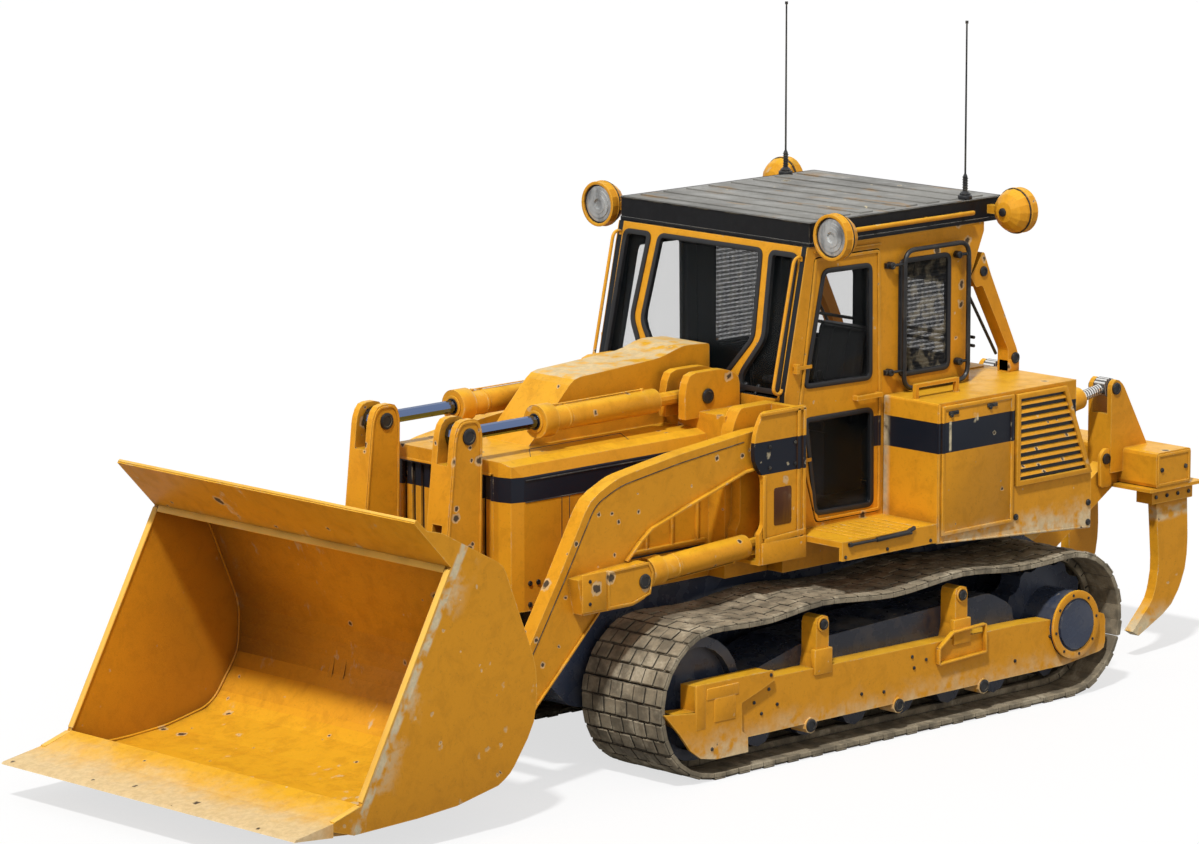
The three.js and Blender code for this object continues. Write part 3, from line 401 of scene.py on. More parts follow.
# ---------------------------------------------------------------- finish helpers
class Finish:
    """A node material, built up a node at a time on Object coordinates."""

    def __init__(self, name):
        self.material = bpy.data.materials.new(name)
        self.material.use_nodes = True
        self.tree = self.material.node_tree
        self.shader = self.tree.nodes["Principled BSDF"]
        self.place = self.node("ShaderNodeTexCoord").outputs["Object"]
        self.normal = self.node("ShaderNodeNewGeometry").outputs["Normal"]

    def node(self, kind, inputs=None, **settings):
        made = self.tree.nodes.new(kind)
        for name, value in settings.items():
            setattr(made, name, value)
        for name, value in (inputs or {}).items():
            if isinstance(value, bpy.types.NodeSocket):
                self.tree.links.new(value, made.inputs[name])
            else:
                made.inputs[name].default_value = value
        return made

    def maths(self, operation, a, b=0.0, clamp=False):
        return self.node("ShaderNodeMath", {0: a, 1: b}, operation=operation, use_clamp=clamp).outputs[0]

    def ramp(self, value, low, high, start=0.0, end=1.0, smooth=True):
        return self.node("ShaderNodeMapRange", {
            "Value": value, "From Min": low, "From Max": high, "To Min": start, "To Max": end,
        }, interpolation_type="SMOOTHSTEP" if smooth else "LINEAR", clamp=True).outputs[0]

    def within(self, value, low, high, soft=0.004):
        """One between two values and nought outside them."""
        return self.maths("MULTIPLY", self.ramp(value, low - soft, low + soft),
                          self.ramp(value, high - soft, high + soft, 1.0, 0.0))

    def noise(self, scale, detail=3.0, rough=0.55, stretch=None, warp=0.0):
        place = self.place
        if stretch:
            place = self.node("ShaderNodeMapping", {"Vector": place, "Scale": stretch}).outputs[0]
        return self.node("ShaderNodeTexNoise", {
            "Vector": place, "Scale": scale, "Detail": detail, "Roughness": rough, "Distortion": warp,
        }).outputs["Fac"]

    def mix(self, share, a, b):
        made = self.node("ShaderNodeMix", data_type="RGBA")
        for socket, value in ((made.inputs[0], share), (made.inputs[6], a), (made.inputs[7], b)):
            if isinstance(value, bpy.types.NodeSocket):
                self.tree.links.new(value, socket)
            else:
                socket.default_value = (*value, 1.0) if hasattr(value, "__len__") and len(value) == 3 else value
        return made.outputs[2]

    def axes(self, socket):
        return self.node("ShaderNodeSeparateXYZ", {0: socket}).outputs

    def chips(self, scale, share, radius, ragged=0.25):
        """Scattered round chips: how much of a chip's rim and of its middle shows at a point."""
        wobble = self.node("ShaderNodeTexNoise", {
            "Vector": self.place, "Scale": scale * 4.0, "Detail": 2.0}).outputs["Color"]
        bent = self.node("ShaderNodeMix", {
            "Factor": ragged / scale, "A": self.place, "B": wobble}, data_type="VECTOR")
        self.tree.links.new(self.place, bent.inputs[4])
        self.tree.links.new(wobble, bent.inputs[5])
        cells = self.node("ShaderNodeTexVoronoi", {"Vector": bent.outputs[1], "Scale": scale})
        chance = self.axes(cells.outputs["Color"])[0]
        reach = self.ramp(chance, 1 - share, 1.0, 0.0, radius * scale, smooth=False)
        gap = self.maths("SUBTRACT", reach, cells.outputs["Distance"])
        rim = self.ramp(gap, 0.0, 0.05)
        middle = self.ramp(self.maths("SUBTRACT", gap, self.maths("MULTIPLY", reach, 0.30)), 0.0, 0.05)
        return rim, middle

    def edges(self, width, low=0.02, high=0.22):
        """How close a point is to an edge of the piece."""
        bevel = self.node("ShaderNodeBevel", {"Radius": width}, samples=4).outputs[0]
        facing = self.node("ShaderNodeVectorMath", {0: bevel, 1: self.normal}, operation="DOT_PRODUCT")
        return self.ramp(self.maths("SUBTRACT", 1.0, facing.outputs["Value"]), low, high)

    def corners(self, reach, low=0.35, high=0.85):
        """How deep a point lies in a corner or under an overhang."""
        open_share = self.node("ShaderNodeAmbientOcclusion", {"Distance": reach}, samples=4).outputs["AO"]
        return self.ramp(open_share, low, high, 1.0, 0.0)

    def relief(self, height, depth):
        bump = self.node("ShaderNodeBump", {"Height": height, "Strength": 0.6, "Distance": depth})
        self.tree.links.new(bump.outputs[0], self.shader.inputs["Normal"])

    def done(self, base, rough, metal=0.0):
        for name, value in (("Base Color", base), ("Roughness", rough), ("Metallic", metal)):
            socket = self.shader.inputs[name]
            if isinstance(value, bpy.types.NodeSocket):
                self.tree.links.new(value, socket)
            else:
                socket.default_value = (*value, 1.0) if hasattr(value, "__len__") else value
        return self.material


def worn_paint(name, sizes, colours, band=None, base=None, low_dirt=None, extra=None, chip=0.046, share=0.42,
               lining=None, shade=False):
    """Machine paint with deeper patches, painted light on its tops, painted shade on its sides and undersides, a
    painted highlight along its edges, chips, and dirt and painted shade in its corners.

    band is (low, high, half, front, rear): a navy band between two heights, beyond half the
    machine's width and between two places along it. low_dirt is (low, high): heights
    between which the wear grows downwards. extra adds masks of worn undercoat. lining is the
    mask of the black inside of the cab, and shade paints shade, a dark brown, on the walls of a deep hollow.
    """
    f = Finish(name)
    x, y, z = f.axes(f.place)[0:3]
    across = f.maths("ABSOLUTE", x)
    facing = f.axes(f.normal)
    patches = f.ramp(f.noise(0.9, 4.0, 0.6), 0.40, 0.66)
    paint = f.mix(f.maths("MULTIPLY", patches, 0.35), tuple(base or colours.yellow), tuple(colours.amber_tone_and_shade))
    # Painted light and shade: faces that point up are lighter, and sides and undersides are a deeper amber.
    tops = f.maths("MULTIPLY", f.ramp(facing[2], 0.5, 0.95), 0.5)
    sides = f.maths("MULTIPLY", f.ramp(f.maths("ABSOLUTE", facing[0]), 0.5, 0.95), 0.75)
    under = f.maths("MULTIPLY", f.ramp(facing[2], -0.95, -0.3, 1.0, 0.0), 0.75)
    if base is None:
        paint = f.mix(f.maths("MAXIMUM", sides, under), paint, tuple(colours.amber_tone_and_shade))
        paint = f.mix(tops, paint, tuple(colours.painted_top_light))
    if base is None:
        blotch = f.ramp(f.noise(7.0, 6.0, 0.72, warp=0.5), 0.44, 0.66)
        paint = f.mix(f.maths("MULTIPLY", blotch, 0.38), paint, tuple(c * 0.74 for c in colours.amber_tone_and_shade))
        speck = f.ramp(f.noise(48.0, 3.0, 0.8), 0.56, 0.74)
        paint = f.mix(f.maths("MULTIPLY", speck, 0.22), paint, tuple(colours.grime_and_shade))
    streaks = f.ramp(f.noise(5.0, 4.0, 0.65, stretch=(1.0, 1.0, 0.16)), 0.52, 0.74)
    paint = f.mix(f.maths("MULTIPLY", streaks, 0.22), paint, tuple(colours.amber_tone_and_shade))
    if band:
        low, high, half, front, rear = band
        strip = f.maths("MULTIPLY", f.within(z, low, high, 0.0015), f.ramp(across, half - 0.001, half + 0.001))
        strip = f.maths("MULTIPLY", strip, f.within(y, ROOF_FRONT + front, ROOF_FRONT + rear, 0.001))
        paint = f.mix(strip, paint, tuple(colours.navy))
    worn = f.edges(sizes.edge_wear)
    grain = f.noise(22.0, 4.0, 0.7)
    if base is None:
        # Painted highlight: a lighter yellow along the edges, broken up by noise.
        rubbed = f.maths("MULTIPLY", worn, f.ramp(f.noise(3.5, 3.0), 0.25, 0.55))
        if band:
            rubbed = f.maths("MULTIPLY", rubbed, f.maths("SUBTRACT", 1.0, strip))
        paint = f.mix(f.maths("MULTIPLY", rubbed, 0.75), paint, tuple(colours.bright))
    bitten = f.maths("MULTIPLY", worn, f.ramp(f.maths("MULTIPLY", f.noise(6.0, 3.0), grain), 0.30, 0.36))
    rim, middle = f.chips(5.5, share, chip)
    small_rim, small_middle = f.chips(12.0, share * 0.45, chip * 0.45)
    rims = f.maths("MAXIMUM", rim, small_rim)
    middles = f.maths("MAXIMUM", middle, small_middle)
    bared = f.maths("MAXIMUM", f.maths("MULTIPLY", rims, 0.50), f.maths("MULTIPLY", bitten, 0.8))
    if low_dirt:
        low, high = low_dirt
        edge = f.maths("ADD", z, f.maths("MULTIPLY", f.maths("SUBTRACT", f.noise(5.0, 5.0, 0.65), 0.5), 0.34))
        scuffed = f.maths("MULTIPLY", f.ramp(edge, low, high, 1.0, 0.0), f.ramp(f.noise(14.0, 4.0), 0.30, 0.55))
        bared = f.maths("MAXIMUM", bared, f.maths("MULTIPLY", scuffed, 0.85))
    for mask in (extra(f, x, y, z) if extra else []):
        bared = f.maths("MAXIMUM", bared, mask)
    undercoat = f.mix(f.ramp(grain, 0.35, 0.65), tuple(colours.cream), tuple(c * 0.80 for c in colours.cream))
    paint = f.mix(bared, paint, undercoat)
    paint = f.mix(middles, paint, tuple(colours.bare))
    # Dirt and painted shade: darker brown in corners and under overhangs, from ambient occlusion, broken up by
    # noise.
    corner_dirt_and_shade = f.maths("MULTIPLY", f.corners(0.16), f.ramp(f.noise(4.0, 4.0), 0.20, 0.70))
    paint = f.mix(f.maths("MULTIPLY", corner_dirt_and_shade, 0.80), paint, tuple(colours.grime_and_shade))
    if shade:
        # Painted shade: the walls deep inside a hollow turn dark brown, from ambient occlusion.
        hollow = f.maths("MULTIPLY", f.corners(1.2, 0.35, 0.90), f.ramp(facing[2], 0.25, 0.75, 0.95, 0.08))
        hollow = f.maths("MULTIPLY", hollow, f.ramp(f.maths("ABSOLUTE", facing[0]), 0.5, 0.95, 1.0, 0.62))
        paint = f.mix(hollow, paint, tuple(colours.grime_and_shade))
    if lining:
        paint = f.mix(lining(f, across, facing), paint, tuple(colours.lining))
    f.shader.inputs["Specular IOR Level"].default_value = 0.22
    rough = f.ramp(f.maths("ADD", f.maths("MULTIPLY", bared, 0.5), f.noise(7.0, 3.0)), 0.3, 1.2, 0.36, 0.72)
    f.relief(f.maths("SUBTRACT", f.maths("MULTIPLY", f.noise(2.2, 2.0), 0.8),
                     f.maths("MULTIPLY", rims, 0.5)), 0.004)
    return f.done(paint, rough)


def dark_paint(name, sizes, colours, base, dust=0.35, gloss=0.34):
    """Navy or black paint with dust on its ledges, pale knocks and rubbed edges."""
    f = Finish(name)
    facing = f.axes(f.normal)
    cloud = f.ramp(f.noise(3.0, 5.0, 0.65), 0.45, 0.78)
    settled_dust = f.maths("MULTIPLY", f.ramp(facing[2], 0.2, 0.95, 0.45, 1.0), cloud)
    paint = f.mix(f.maths("MULTIPLY", f.ramp(f.noise(1.1, 3.0), 0.35, 0.7), 0.6), tuple(base),
                  tuple(min(1.0, c * 1.9) for c in base))
    paint = f.mix(f.maths("MULTIPLY", settled_dust, dust), paint, tuple(c * 0.42 for c in colours.dust))
    rim, middle = f.chips(6.0, 0.4, 0.022)
    worn = f.maths("MULTIPLY", f.edges(sizes.edge_wear * 0.6), f.ramp(f.noise(12.0, 3.0), 0.45, 0.62))
    paint = f.mix(f.maths("MULTIPLY", rim, 0.65), paint, tuple(c * 0.8 for c in colours.cream))
    paint = f.mix(middle, paint, tuple(colours.bare))
    paint = f.mix(f.maths("MULTIPLY", worn, 0.45), paint, tuple(c * 0.55 for c in colours.cream))
    rough = f.ramp(f.maths("ADD", settled_dust, f.noise(9.0, 3.0)), 0.3, 1.3, gloss, 0.8)
    f.relief(f.noise(8.0, 4.0), 0.002)
    return f.done(paint, rough, 0.0)


def track_finish(colours):
    """Earth-coloured shoes: pale dust on top, painted shade in the grooves, rubbed steel on some tiles."""
    f = Finish("track_shoes")
    tile = f.ramp(f.noise(7.5, 2.0, 0.5), 0.38, 0.62)
    base = f.mix(tile, tuple(colours.pads), tuple(c * 0.52 for c in colours.pads))
    pale = f.ramp(f.noise(5.5, 4.0, 0.6, warp=0.4), 0.50, 0.70)
    base = f.mix(f.maths("MULTIPLY", pale, 0.75), base, tuple(colours.dust))
    grit = f.ramp(f.noise(60.0, 3.0, 0.7), 0.35, 0.7)
    base = f.mix(f.maths("MULTIPLY", grit, 0.3), base, tuple(c * 0.4 for c in colours.pads))
    # Painted shade: near black in the grooves and between the shoes, from ambient occlusion.
    deep = f.corners(0.05, 0.30, 0.80)
    base = f.mix(f.maths("MULTIPLY", deep, 0.9), base, (0.012, 0.009, 0.007))
    f.relief(f.maths("ADD", f.noise(30.0, 4.0, 0.7), f.noise(9.0, 2.0)), 0.004)
    return f.done(base, f.ramp(grit, 0.0, 1.0, 0.72, 0.95))


def polished(name, colour_pair, gloss, metal, streak=(0.2, 0.2, 3.0), rings=None):
    """Drawn or chromed steel with fine marks along it; rings is the axis and pitch of turned rings."""
    f = Finish(name)
    marks = f.noise(18.0, 4.0, 0.6, stretch=streak)
    if rings:
        axis, pitch = rings
        along = f.node("ShaderNodeVectorMath", {0: f.place, 1: tuple(axis)}, operation="DOT_PRODUCT")
        phase = f.maths("MULTIPLY", along.outputs["Value"], 2 * math.pi / pitch)
        marks = f.ramp(f.maths("SINE", phase), -0.6, 0.6)
    smear = f.ramp(f.noise(4.0, 4.0), 0.45, 0.7)
    base = f.mix(f.ramp(marks, 0.35, 0.7), *colour_pair)
    rough = f.maths("ADD", f.maths("MULTIPLY", smear, 0.25), gloss)
    f.relief(marks, 0.0006)
    return f.done(base, rough, metal)


def roof_finish(sizes, colours):
    """Grey-blue plate on top with rust and cream stains; the rim and underside are black."""
    f = Finish("roof_plate")
    facing = f.axes(f.normal)
    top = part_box("cab_roof")[1].z
    upward = f.maths("MAXIMUM", f.ramp(facing[2], 0.55, 0.8),
                     f.ramp(f.axes(f.place)[2], top - 0.004, top - 0.002))
    tone = f.mix(f.ramp(f.noise(1.6, 4.0), 0.35, 0.7), tuple(colours.roof),
                 tuple(c * 0.68 for c in colours.roof))
    stain = f.ramp(f.noise(4.2, 5.0, 0.65, stretch=(0.5, 1.6, 1.0)), 0.56, 0.68)
    tone = f.mix(f.maths("MULTIPLY", stain, 0.8), tone, (0.30, 0.20, 0.105))
    rim, middle = f.chips(6.0, 0.5, 0.035, 0.5)
    tone = f.mix(f.maths("MULTIPLY", rim, 0.8), tone, tuple(colours.cream))
    tone = f.mix(middle, tone, tuple(colours.bare))
    worn = f.maths("MULTIPLY", f.edges(sizes.edge_wear), f.ramp(f.noise(9.0, 3.0), 0.40, 0.60))
    dark = f.mix(f.maths("MULTIPLY", worn, 0.25), tuple(colours.black), tuple(colours.cream))
    f.relief(f.noise(6.0, 4.0), 0.003)
    f.shader.inputs["Specular IOR Level"].default_value = 0.25
    return f.done(f.mix(upward, dark, tone), f.ramp(f.noise(7.0, 3.0), 0.3, 0.7, 0.4, 0.7))


def clear_glass(name, tint):
    """A clear pane with a film of dust."""
    f = Finish(name)
    film = f.ramp(f.noise(2.5, 5.0, 0.6), 0.42, 0.80)
    f.shader.inputs["Alpha"].default_value = 0.12
    return f.done(f.mix(f.maths("MULTIPLY", film, 0.10), tuple(tint), (0.30, 0.27, 0.20)), 0.04)


def rubber(name, colours, base=None):
    """Matt rubber or plastic, scuffed grey in places."""
    f = Finish(name)
    scuff = f.ramp(f.noise(12.0, 4.0, 0.7), 0.50, 0.75)
    base = base or tuple(colours.black)
    f.relief(f.noise(90.0, 2.0), 0.0008)
    return f.done(f.mix(f.maths("MULTIPLY", scuff, 0.25), base, (0.06, 0.058, 0.052)),
                  f.ramp(scuff, 0.0, 1.0, 0.5, 0.75))


def vinyl():
    """Grained black vinyl with a soft shine."""
    f = Finish("seat_vinyl")
    grain = f.node("ShaderNodeTexVoronoi", {"Vector": f.place, "Scale": 320.0}).outputs["Distance"]
    fade = f.ramp(f.noise(3.0, 4.0), 0.35, 0.75)
    f.shader.inputs["Sheen Weight"].default_value = 0.15
    f.relief(f.maths("ADD", grain, f.maths("MULTIPLY", f.noise(14.0, 3.0), 1.5)), 0.0012)
    return f.done(f.mix(fade, (0.018, 0.018, 0.020), (0.045, 0.043, 0.042)), f.ramp(fade, 0.0, 1.0, 0.42, 0.62))


# ---------------------------------------------------------------- steps
class Step:
    """What every step of the loader has in common."""

    bl_options = {"REGISTER", "UNDO"}


class LOADER_OT_finishes(Step, bpy.types.Operator):
    """Make the paints, metals, rubber and glass"""

    bl_idname = "loader.finishes"
    bl_label = "Finishes"

    def execute(self, context):
        sizes, colours = context.scene.loader_sizes, context.scene.loader_colours

        def cream(f, mask, level):
            """A mask of undercoat, broken up by noise."""
            return f.maths("MULTIPLY", f.maths("MULTIPLY", mask, f.ramp(f.noise(11.0, 4.0), 0.34, 0.56)), level)

        def box_wear(f, x, y, z):
            across = f.maths("ABSOLUTE", x)
            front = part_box("side_box_left")[0].y
            seam = f.maths("MULTIPLY", f.ramp(across, 0.925, 0.985, 1.0, 0.0),
                           f.ramp(y, front, front + 0.03, 1.0, 0.0))
            runs = []
            for start, high, low in ((0.10, 2.13, 1.93), (0.345, 2.16, 2.10), (0.372, 2.16, 2.11)):
                drip = f.within(y, front + start, front + start + 0.022, 0.006)
                runs.append(cream(f, f.maths("MULTIPLY", drip, f.within(z, low, high, 0.01)), 0.9))
            return [cream(f, seam, 1.0)] + runs

        def lip_wear(f, x, y, z):
            front = CAD_BOX[0].y
            ragged = f.maths("MULTIPLY", f.maths("SUBTRACT", f.noise(4.0, 5.0, 0.7), 0.5), 0.55)
            edge = f.maths("ADD", y, ragged)
            return [f.maths("MULTIPLY", f.ramp(edge, front + 0.10, front + 0.55, 1.0, 0.0), 0.70)]

        def bucket_wear(f, x, y, z):
            across = f.maths("ABSOLUTE", x)
            plane = f.node("ShaderNodeVectorMath", {0: f.place, 1: tuple(BUCKET_MOUTH)}, operation="DOT_PRODUCT")
            inner = BUCKET_MOUTH.dot(at(0.0, -3.785, 1.78))
            depth = f.maths("SUBTRACT", inner, plane.outputs["Value"])
            stripe = f.maths("MULTIPLY", f.within(depth, 0.010, 0.070, 0.010), f.ramp(across, 1.446, 1.449))
            scraped = f.maths("MULTIPLY", f.ramp(f.noise(2.6, 5.0, 0.65), 0.50, 0.62),
                              f.ramp(depth, 0.06, 0.26, 1.0, 0.0))
            outside = f.maths("MULTIPLY", scraped, f.ramp(across, 1.446, 1.449))
            inside = f.maths("MULTIPLY", f.ramp(f.noise(3.4, 5.0, 0.7, stretch=(1.0, 0.5, 0.5)), 0.62, 0.68),
                             f.ramp(across, 1.40, 1.41, 1.0, 0.0))
            return [cream(f, stripe, 0.95), cream(f, outside, 0.6), cream(f, inside, 0.7)]

        worn_paint("body_yellow", sizes, colours)
        worn_paint("hood_yellow", sizes, colours, band=(1.893, 2.060, 0.0, -2.60, -0.66),
                   extra=lambda f, x, y, z: [cream(f, f.maths("MULTIPLY", f.ramp(z, 2.40, 2.52), f.ramp(
                       f.axes(f.normal)[2], 0.8, 0.97)), 0.75)])
        worn_paint("tower_yellow", sizes, colours, band=(1.905, 2.130, 0.75, -0.80, 0.0))
        cab_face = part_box("cab_roof")[1].x - 0.002
        outside_only = lambda f, across, facing: f.ramp(across, cab_face - 0.008, cab_face - 0.004, 1.0, 0.0)
        worn_paint("cab_side_yellow", sizes, colours, lining=outside_only)
        worn_paint("cab_front_yellow", sizes, colours, lining=lambda f, across, facing: f.ramp(
            facing[1], -0.6, -0.5))
        worn_paint("cab_back_yellow", sizes, colours, lining=lambda f, across, facing: f.ramp(
            facing[1], 0.5, 0.6, 1.0, 0.0))
        worn_paint("bright_yellow", sizes, colours, base=tuple(colours.bright), chip=0.012)
        worn_paint("rust_paint", sizes, colours, base=(0.074, 0.024, 0.008), chip=0.01)
        worn_paint("box_yellow", sizes, colours, band=(1.918, 2.129, 0.0, 0.0, 3.0),
                   low_dirt=(1.20, 1.44), extra=box_wear)
        worn_paint("door_yellow", sizes, colours, band=(1.918, 2.129, 0.0, 0.645, 0.72),
                   lining=outside_only)
        worn_paint("guard_yellow", sizes, colours, low_dirt=(0.05, 0.42), chip=0.036, share=0.5)
        worn_paint("arm_yellow", sizes, colours, chip=0.058, share=0.55)
        worn_paint("bucket_yellow", sizes, colours, extra=bucket_wear, chip=0.052, share=0.34, shade=True)
        worn_paint("lip_steel", sizes, colours, extra=lip_wear, chip=0.05, share=0.6)
        worn_paint("shank_yellow", sizes, colours, extra=lambda f, x, y, z: [
            cream(f, f.within(f.maths("ADD", z, f.maths("MULTIPLY", f.noise(6.0, 4.0), 0.08)),
                              1.03, 1.12, 0.02), 0.7),
            cream(f, f.ramp(z, 0.22, 0.42, 1.0, 0.0), 0.9)])
        dark_paint("navy_steel", sizes, colours, tuple(c * 2.8 for c in colours.navy), dust=0.50, gloss=0.18)
        dark_paint("black_steel", sizes, colours, tuple(colours.black), dust=0.16, gloss=0.34)
        track_finish(colours)
        polished("rod_steel", (tuple(colours.rod), tuple(c * 2.4 for c in colours.rod)), 0.22, 0.85)
        polished("chrome_rod", ((0.16, 0.155, 0.15), (0.80, 0.79, 0.76)), 0.22, 0.7,
                 rings=((0.0, 0.98598, 0.16686), 0.024))
        polished("lens_glass", ((0.62, 0.63, 0.62), (0.20, 0.205, 0.21)), 0.10, 0.45, (0.6, 0.3, 0.3))
        roof_finish(sizes, colours)
        clear_glass("cab_glass", colours.glass)
        rubber("seal_rubber", colours)
        rubber("control_plastic", colours, (0.016, 0.016, 0.017))
        vinyl()
        return {"FINISHED"}


class LOADER_OT_frame_finishes(Step, bpy.types.Operator):
    """Give every carried-over node its finish"""

    bl_idname = "loader.frame_finishes"
    bl_label = "Finish the frame"

    def execute(self, context):
        chosen_finish = {
            "engine_hood": "hood_yellow", "grille": "hood_yellow", "loader_frame": "tower_yellow",
            "side_box": "box_yellow", "rear_deck": "box_yellow", "door": "door_yellow",
            "cab_side": "cab_side_yellow", "cab_front": "cab_front_yellow", "cab_back": "cab_back_yellow",
            "roller_guard": "guard_yellow", "bucket": "bucket_yellow", "cutting_edge": "lip_steel",
            "track_frame": "navy_steel", "idler": "navy_steel", "final_drive": "navy_steel",
            "main_frame": "navy_steel", "engine_block": "navy_steel", "cab_roof": "roof_plate",
            "tilt_rod": "rod_steel", "lift_rod": "rod_steel", "ripper_rod": "chrome_rod",
            "antenna": "black_steel", "operator_seat": "control_plastic", "console": "control_plastic",
            "ripper_shank": "shank_yellow", "lift_arms": "arm_yellow", "tilt_lever": "arm_yellow",
            "tilt_link": "arm_yellow", "tilt_barrel": "arm_yellow", "lift_barrel": "arm_yellow",
            "track": "track_shoes",
        }
        for name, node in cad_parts.items():
            kind = name.removesuffix("_left").removesuffix("_right").removesuffix("_middle")
            finish = bpy.data.materials[chosen_finish.get(kind, "body_yellow")]
            for slot in node.material_slots:
                slot.material = finish
        return {"FINISHED"}


class LOADER_OT_tracks(Step, bpy.types.Operator):
    """Lay the track shoes round both loops"""

    bl_idname = "loader.tracks"
    bl_label = "Track shoes"

    def shoe_row(self, sizes, width, pitch, depth, shift):
        """Half a shoe: its plate, one row of tiles and the links under it, at the origin."""
        half = width / 2
        tile = sizes.tread_tile
        plate_low = -tile - 0.030
        pieces = [block((-half, -pitch / 2, plate_low), (half, pitch / 2, -tile), 0.003, 1)]
        step = width / sizes.tile_count
        count = sizes.tile_count + (1 if shift else 0)
        for index in range(count):
            middle = -half + step * (index + (0 if shift else 0.5))
            left = max(-half, middle - step / 2 + sizes.tile_gap / 2)
            right = min(half, middle + step / 2 - sizes.tile_gap / 2)
            rise = 0.0 if index % 2 else -0.004
            reach = pitch / 2 - sizes.tile_gap * 0.45
            pieces.append(block((left, -reach, -tile - 0.001), (right, reach, rise), 0.005, 1))
        for rail in (-0.10, 0.10):
            pieces.append(block((rail - 0.022, -pitch / 2 - 0.006, -depth),
                                (rail + 0.022, pitch / 2 + 0.006, plate_low + 0.001), 0.004, 1))
        return pieces

    def rows(self, node):
        """Middle, direction and outward side of each half shoe, as (y, z) vectors."""
        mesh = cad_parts[node].data
        pads = {}
        for face in mesh.polygons:
            ends = {(round(mesh.vertices[i].co.y, 4), round(mesh.vertices[i].co.z, 4)) for i in face.vertices}
            if abs(face.normal.x) < 0.5 and len(ends) == 2:
                a, b = (Vector(end) for end in ends)
                if 0.175 < (a - b).length < 0.22:
                    pads[frozenset(ends)] = (a, b, Vector((face.normal.y, face.normal.z)).normalized())
        middle = sum(((a + b) / 2 for a, b, _ in pads.values()), Vector((0, 0))) / len(pads)
        turn_of = lambda v: math.atan2(v.y, v.x)
        loop = sorted(pads.values(), key=lambda pad: turn_of((pad[0] + pad[1]) / 2 - middle))
        made = []
        for index, (a, b, out) in enumerate(loop):
            ahead = Vector((-out.y, out.x))
            start, end = sorted((a, b), key=lambda p: p.dot(ahead))
            after, before = turn_of(loop[(index + 1) % len(loop)][2]), turn_of(loop[index - 1][2])
            turning = math.remainder(after - before, 2 * math.pi) / 2
            span = (end - start).length
            bulge = span * 0.84 * turning / 8
            for share in (0.2024, 0.7976):
                place = start.lerp(end, share) + out * 4 * bulge * share * (1 - share)
                along = (ahead + out * 4 * bulge * (1 - 2 * share) / span).normalized()
                made.append((place, along, Vector((along.y, -along.x)), share < 0.5))
        return made

    def execute(self, context):
        sizes = context.scene.loader_sizes
        low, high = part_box("track_left")
        width, depth = high.x - low.x, 0.092
        rows = self.rows("track_left")
        pitch = min((rows[i][0] - rows[i - 1][0]).length for i in range(len(rows))) - 0.001
        halves = {}
        for shift in (True, False):
            pieces = self.shoe_row(sizes, width, pitch, depth, shift)
            clear()
            for piece in pieces:
                piece.select_set(True)
            bpy.context.view_layer.objects.active = pieces[0]
            bpy.ops.object.join()
            halves[shift] = bpy.context.object
        for side, sign in SIDES.items():
            laid = []
            for place, along, out, first in rows:
                turn = Matrix((
                    (1, 0, 0, sign * (low.x + high.x) / 2),
                    (0, along.x, out.x, place.x),
                    (0, along.y, out.y, place.y),
                    (0, 0, 0, 1),
                ))
                laid.append(copied(halves[first], turn))
            belt = gathered(f"track_shoes_{side}", laid, "chassis", "track_pads", "track_shoes", 30)
            for vertex in belt.data.vertices:
                vertex.co.z = max(0.0, vertex.co.z)
            outwards(belt)
            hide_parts(f"track_{side}")
        for piece in halves.values():
            chosen(piece)
            bpy.ops.object.delete()
        return {"FINISHED"}


class LOADER_OT_running_gear(Step, bpy.types.Operator):
    """Add hub rings, caps, steps and bolts to the track frames"""

    bl_idname = "loader.running_gear"
    bl_label = "Running gear"

    def execute(self, context):
        hub = at(0, 2.173, 0.522)
        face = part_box("roller_guard_left")[1].x - 0.036
        yellow = [surround(circle(hub + LEFT * 1.432, 0.243, 40), 0.055, 0.018)]
        for y in (-0.364, 1.014):
            yellow.append(surround(circle(at(face + 0.004, y, 0.900), 0.052, 20), 0.014, 0.012))
            yellow.append(block(at(face - 0.03, y - 0.085, 0.560), at(face + 0.014, y + 0.085, 0.735), 0.006))
        step_line = profile(face + 0.020, (
            (0.765, 0.452), (0.765, 0.560), (0.905, 0.655), (1.232, 0.668), (1.240, 0.470), (0.765, 0.452)))
        yellow += [bar(a, b, 0.036, 0.014) for a, b in zip(step_line, step_line[1:])]
        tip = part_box("roller_guard_left")[1].x
        yellow.append(block(at(tip - 0.012, -1.602, 0.372), at(tip + 0.003, -1.510, 0.676), 0.005))
        yellow.append(block(at(tip - 0.006, -1.500, 0.560), at(tip + 0.005, -1.200, 0.640), 0.018, 3))
        yellow.append(block(at(tip - 0.006, -1.430, 0.400), at(tip + 0.005, -1.230, 0.565), 0.014, 3))
        dark = [disc(hub + LEFT * 1.430, LEFT, 0.0195, 0.172, (0.05, -DISH), 0.008, 40)]
        dark += bolts(circle(hub + LEFT * 1.440, 0.214, 40)[1::5], LEFT, 0.011, 0.006)
        for y, z, radius in ((-0.364, 0.900, 0.036), (1.014, 0.900, 0.036),
                             (-0.483, 0.225, 0.046), (0.381, 0.225, 0.046), (1.241, 0.225, 0.046)):
            dark.append(disc(at(face - 0.01, y, z), LEFT, 0.032, radius, (0.011, -DISH), 0.006))
        dark += bolts(profile(tip, ((-0.895, 0.640), (-1.450, 0.225))), LEFT, 0.014, 0.006)
        dark.append(bar(at(face + 0.002, -1.150, 0.505), at(face + 0.002, -0.960, 0.572), 0.004, 0.030))
        holes = ((-0.88, 0.535), (-1.02, 0.465), (-0.80, 0.42), (-0.95, 0.38), (0.02, 0.36),
                 (0.52, 0.54), (0.54, 0.46), (0.66, 0.50), (0.24, 0.34), (1.57, 0.35), (1.93, 0.47), (2.30, 0.33))
        dark += bolts(profile(face + 0.001, holes), LEFT, 0.013, 0.007)
        pair("frame_fittings", yellow, "chassis", "body_paint", "guard_yellow")
        pair("hub_and_caps", dark, "chassis", "black_paint", "black_steel")
        return {"FINISHED"}


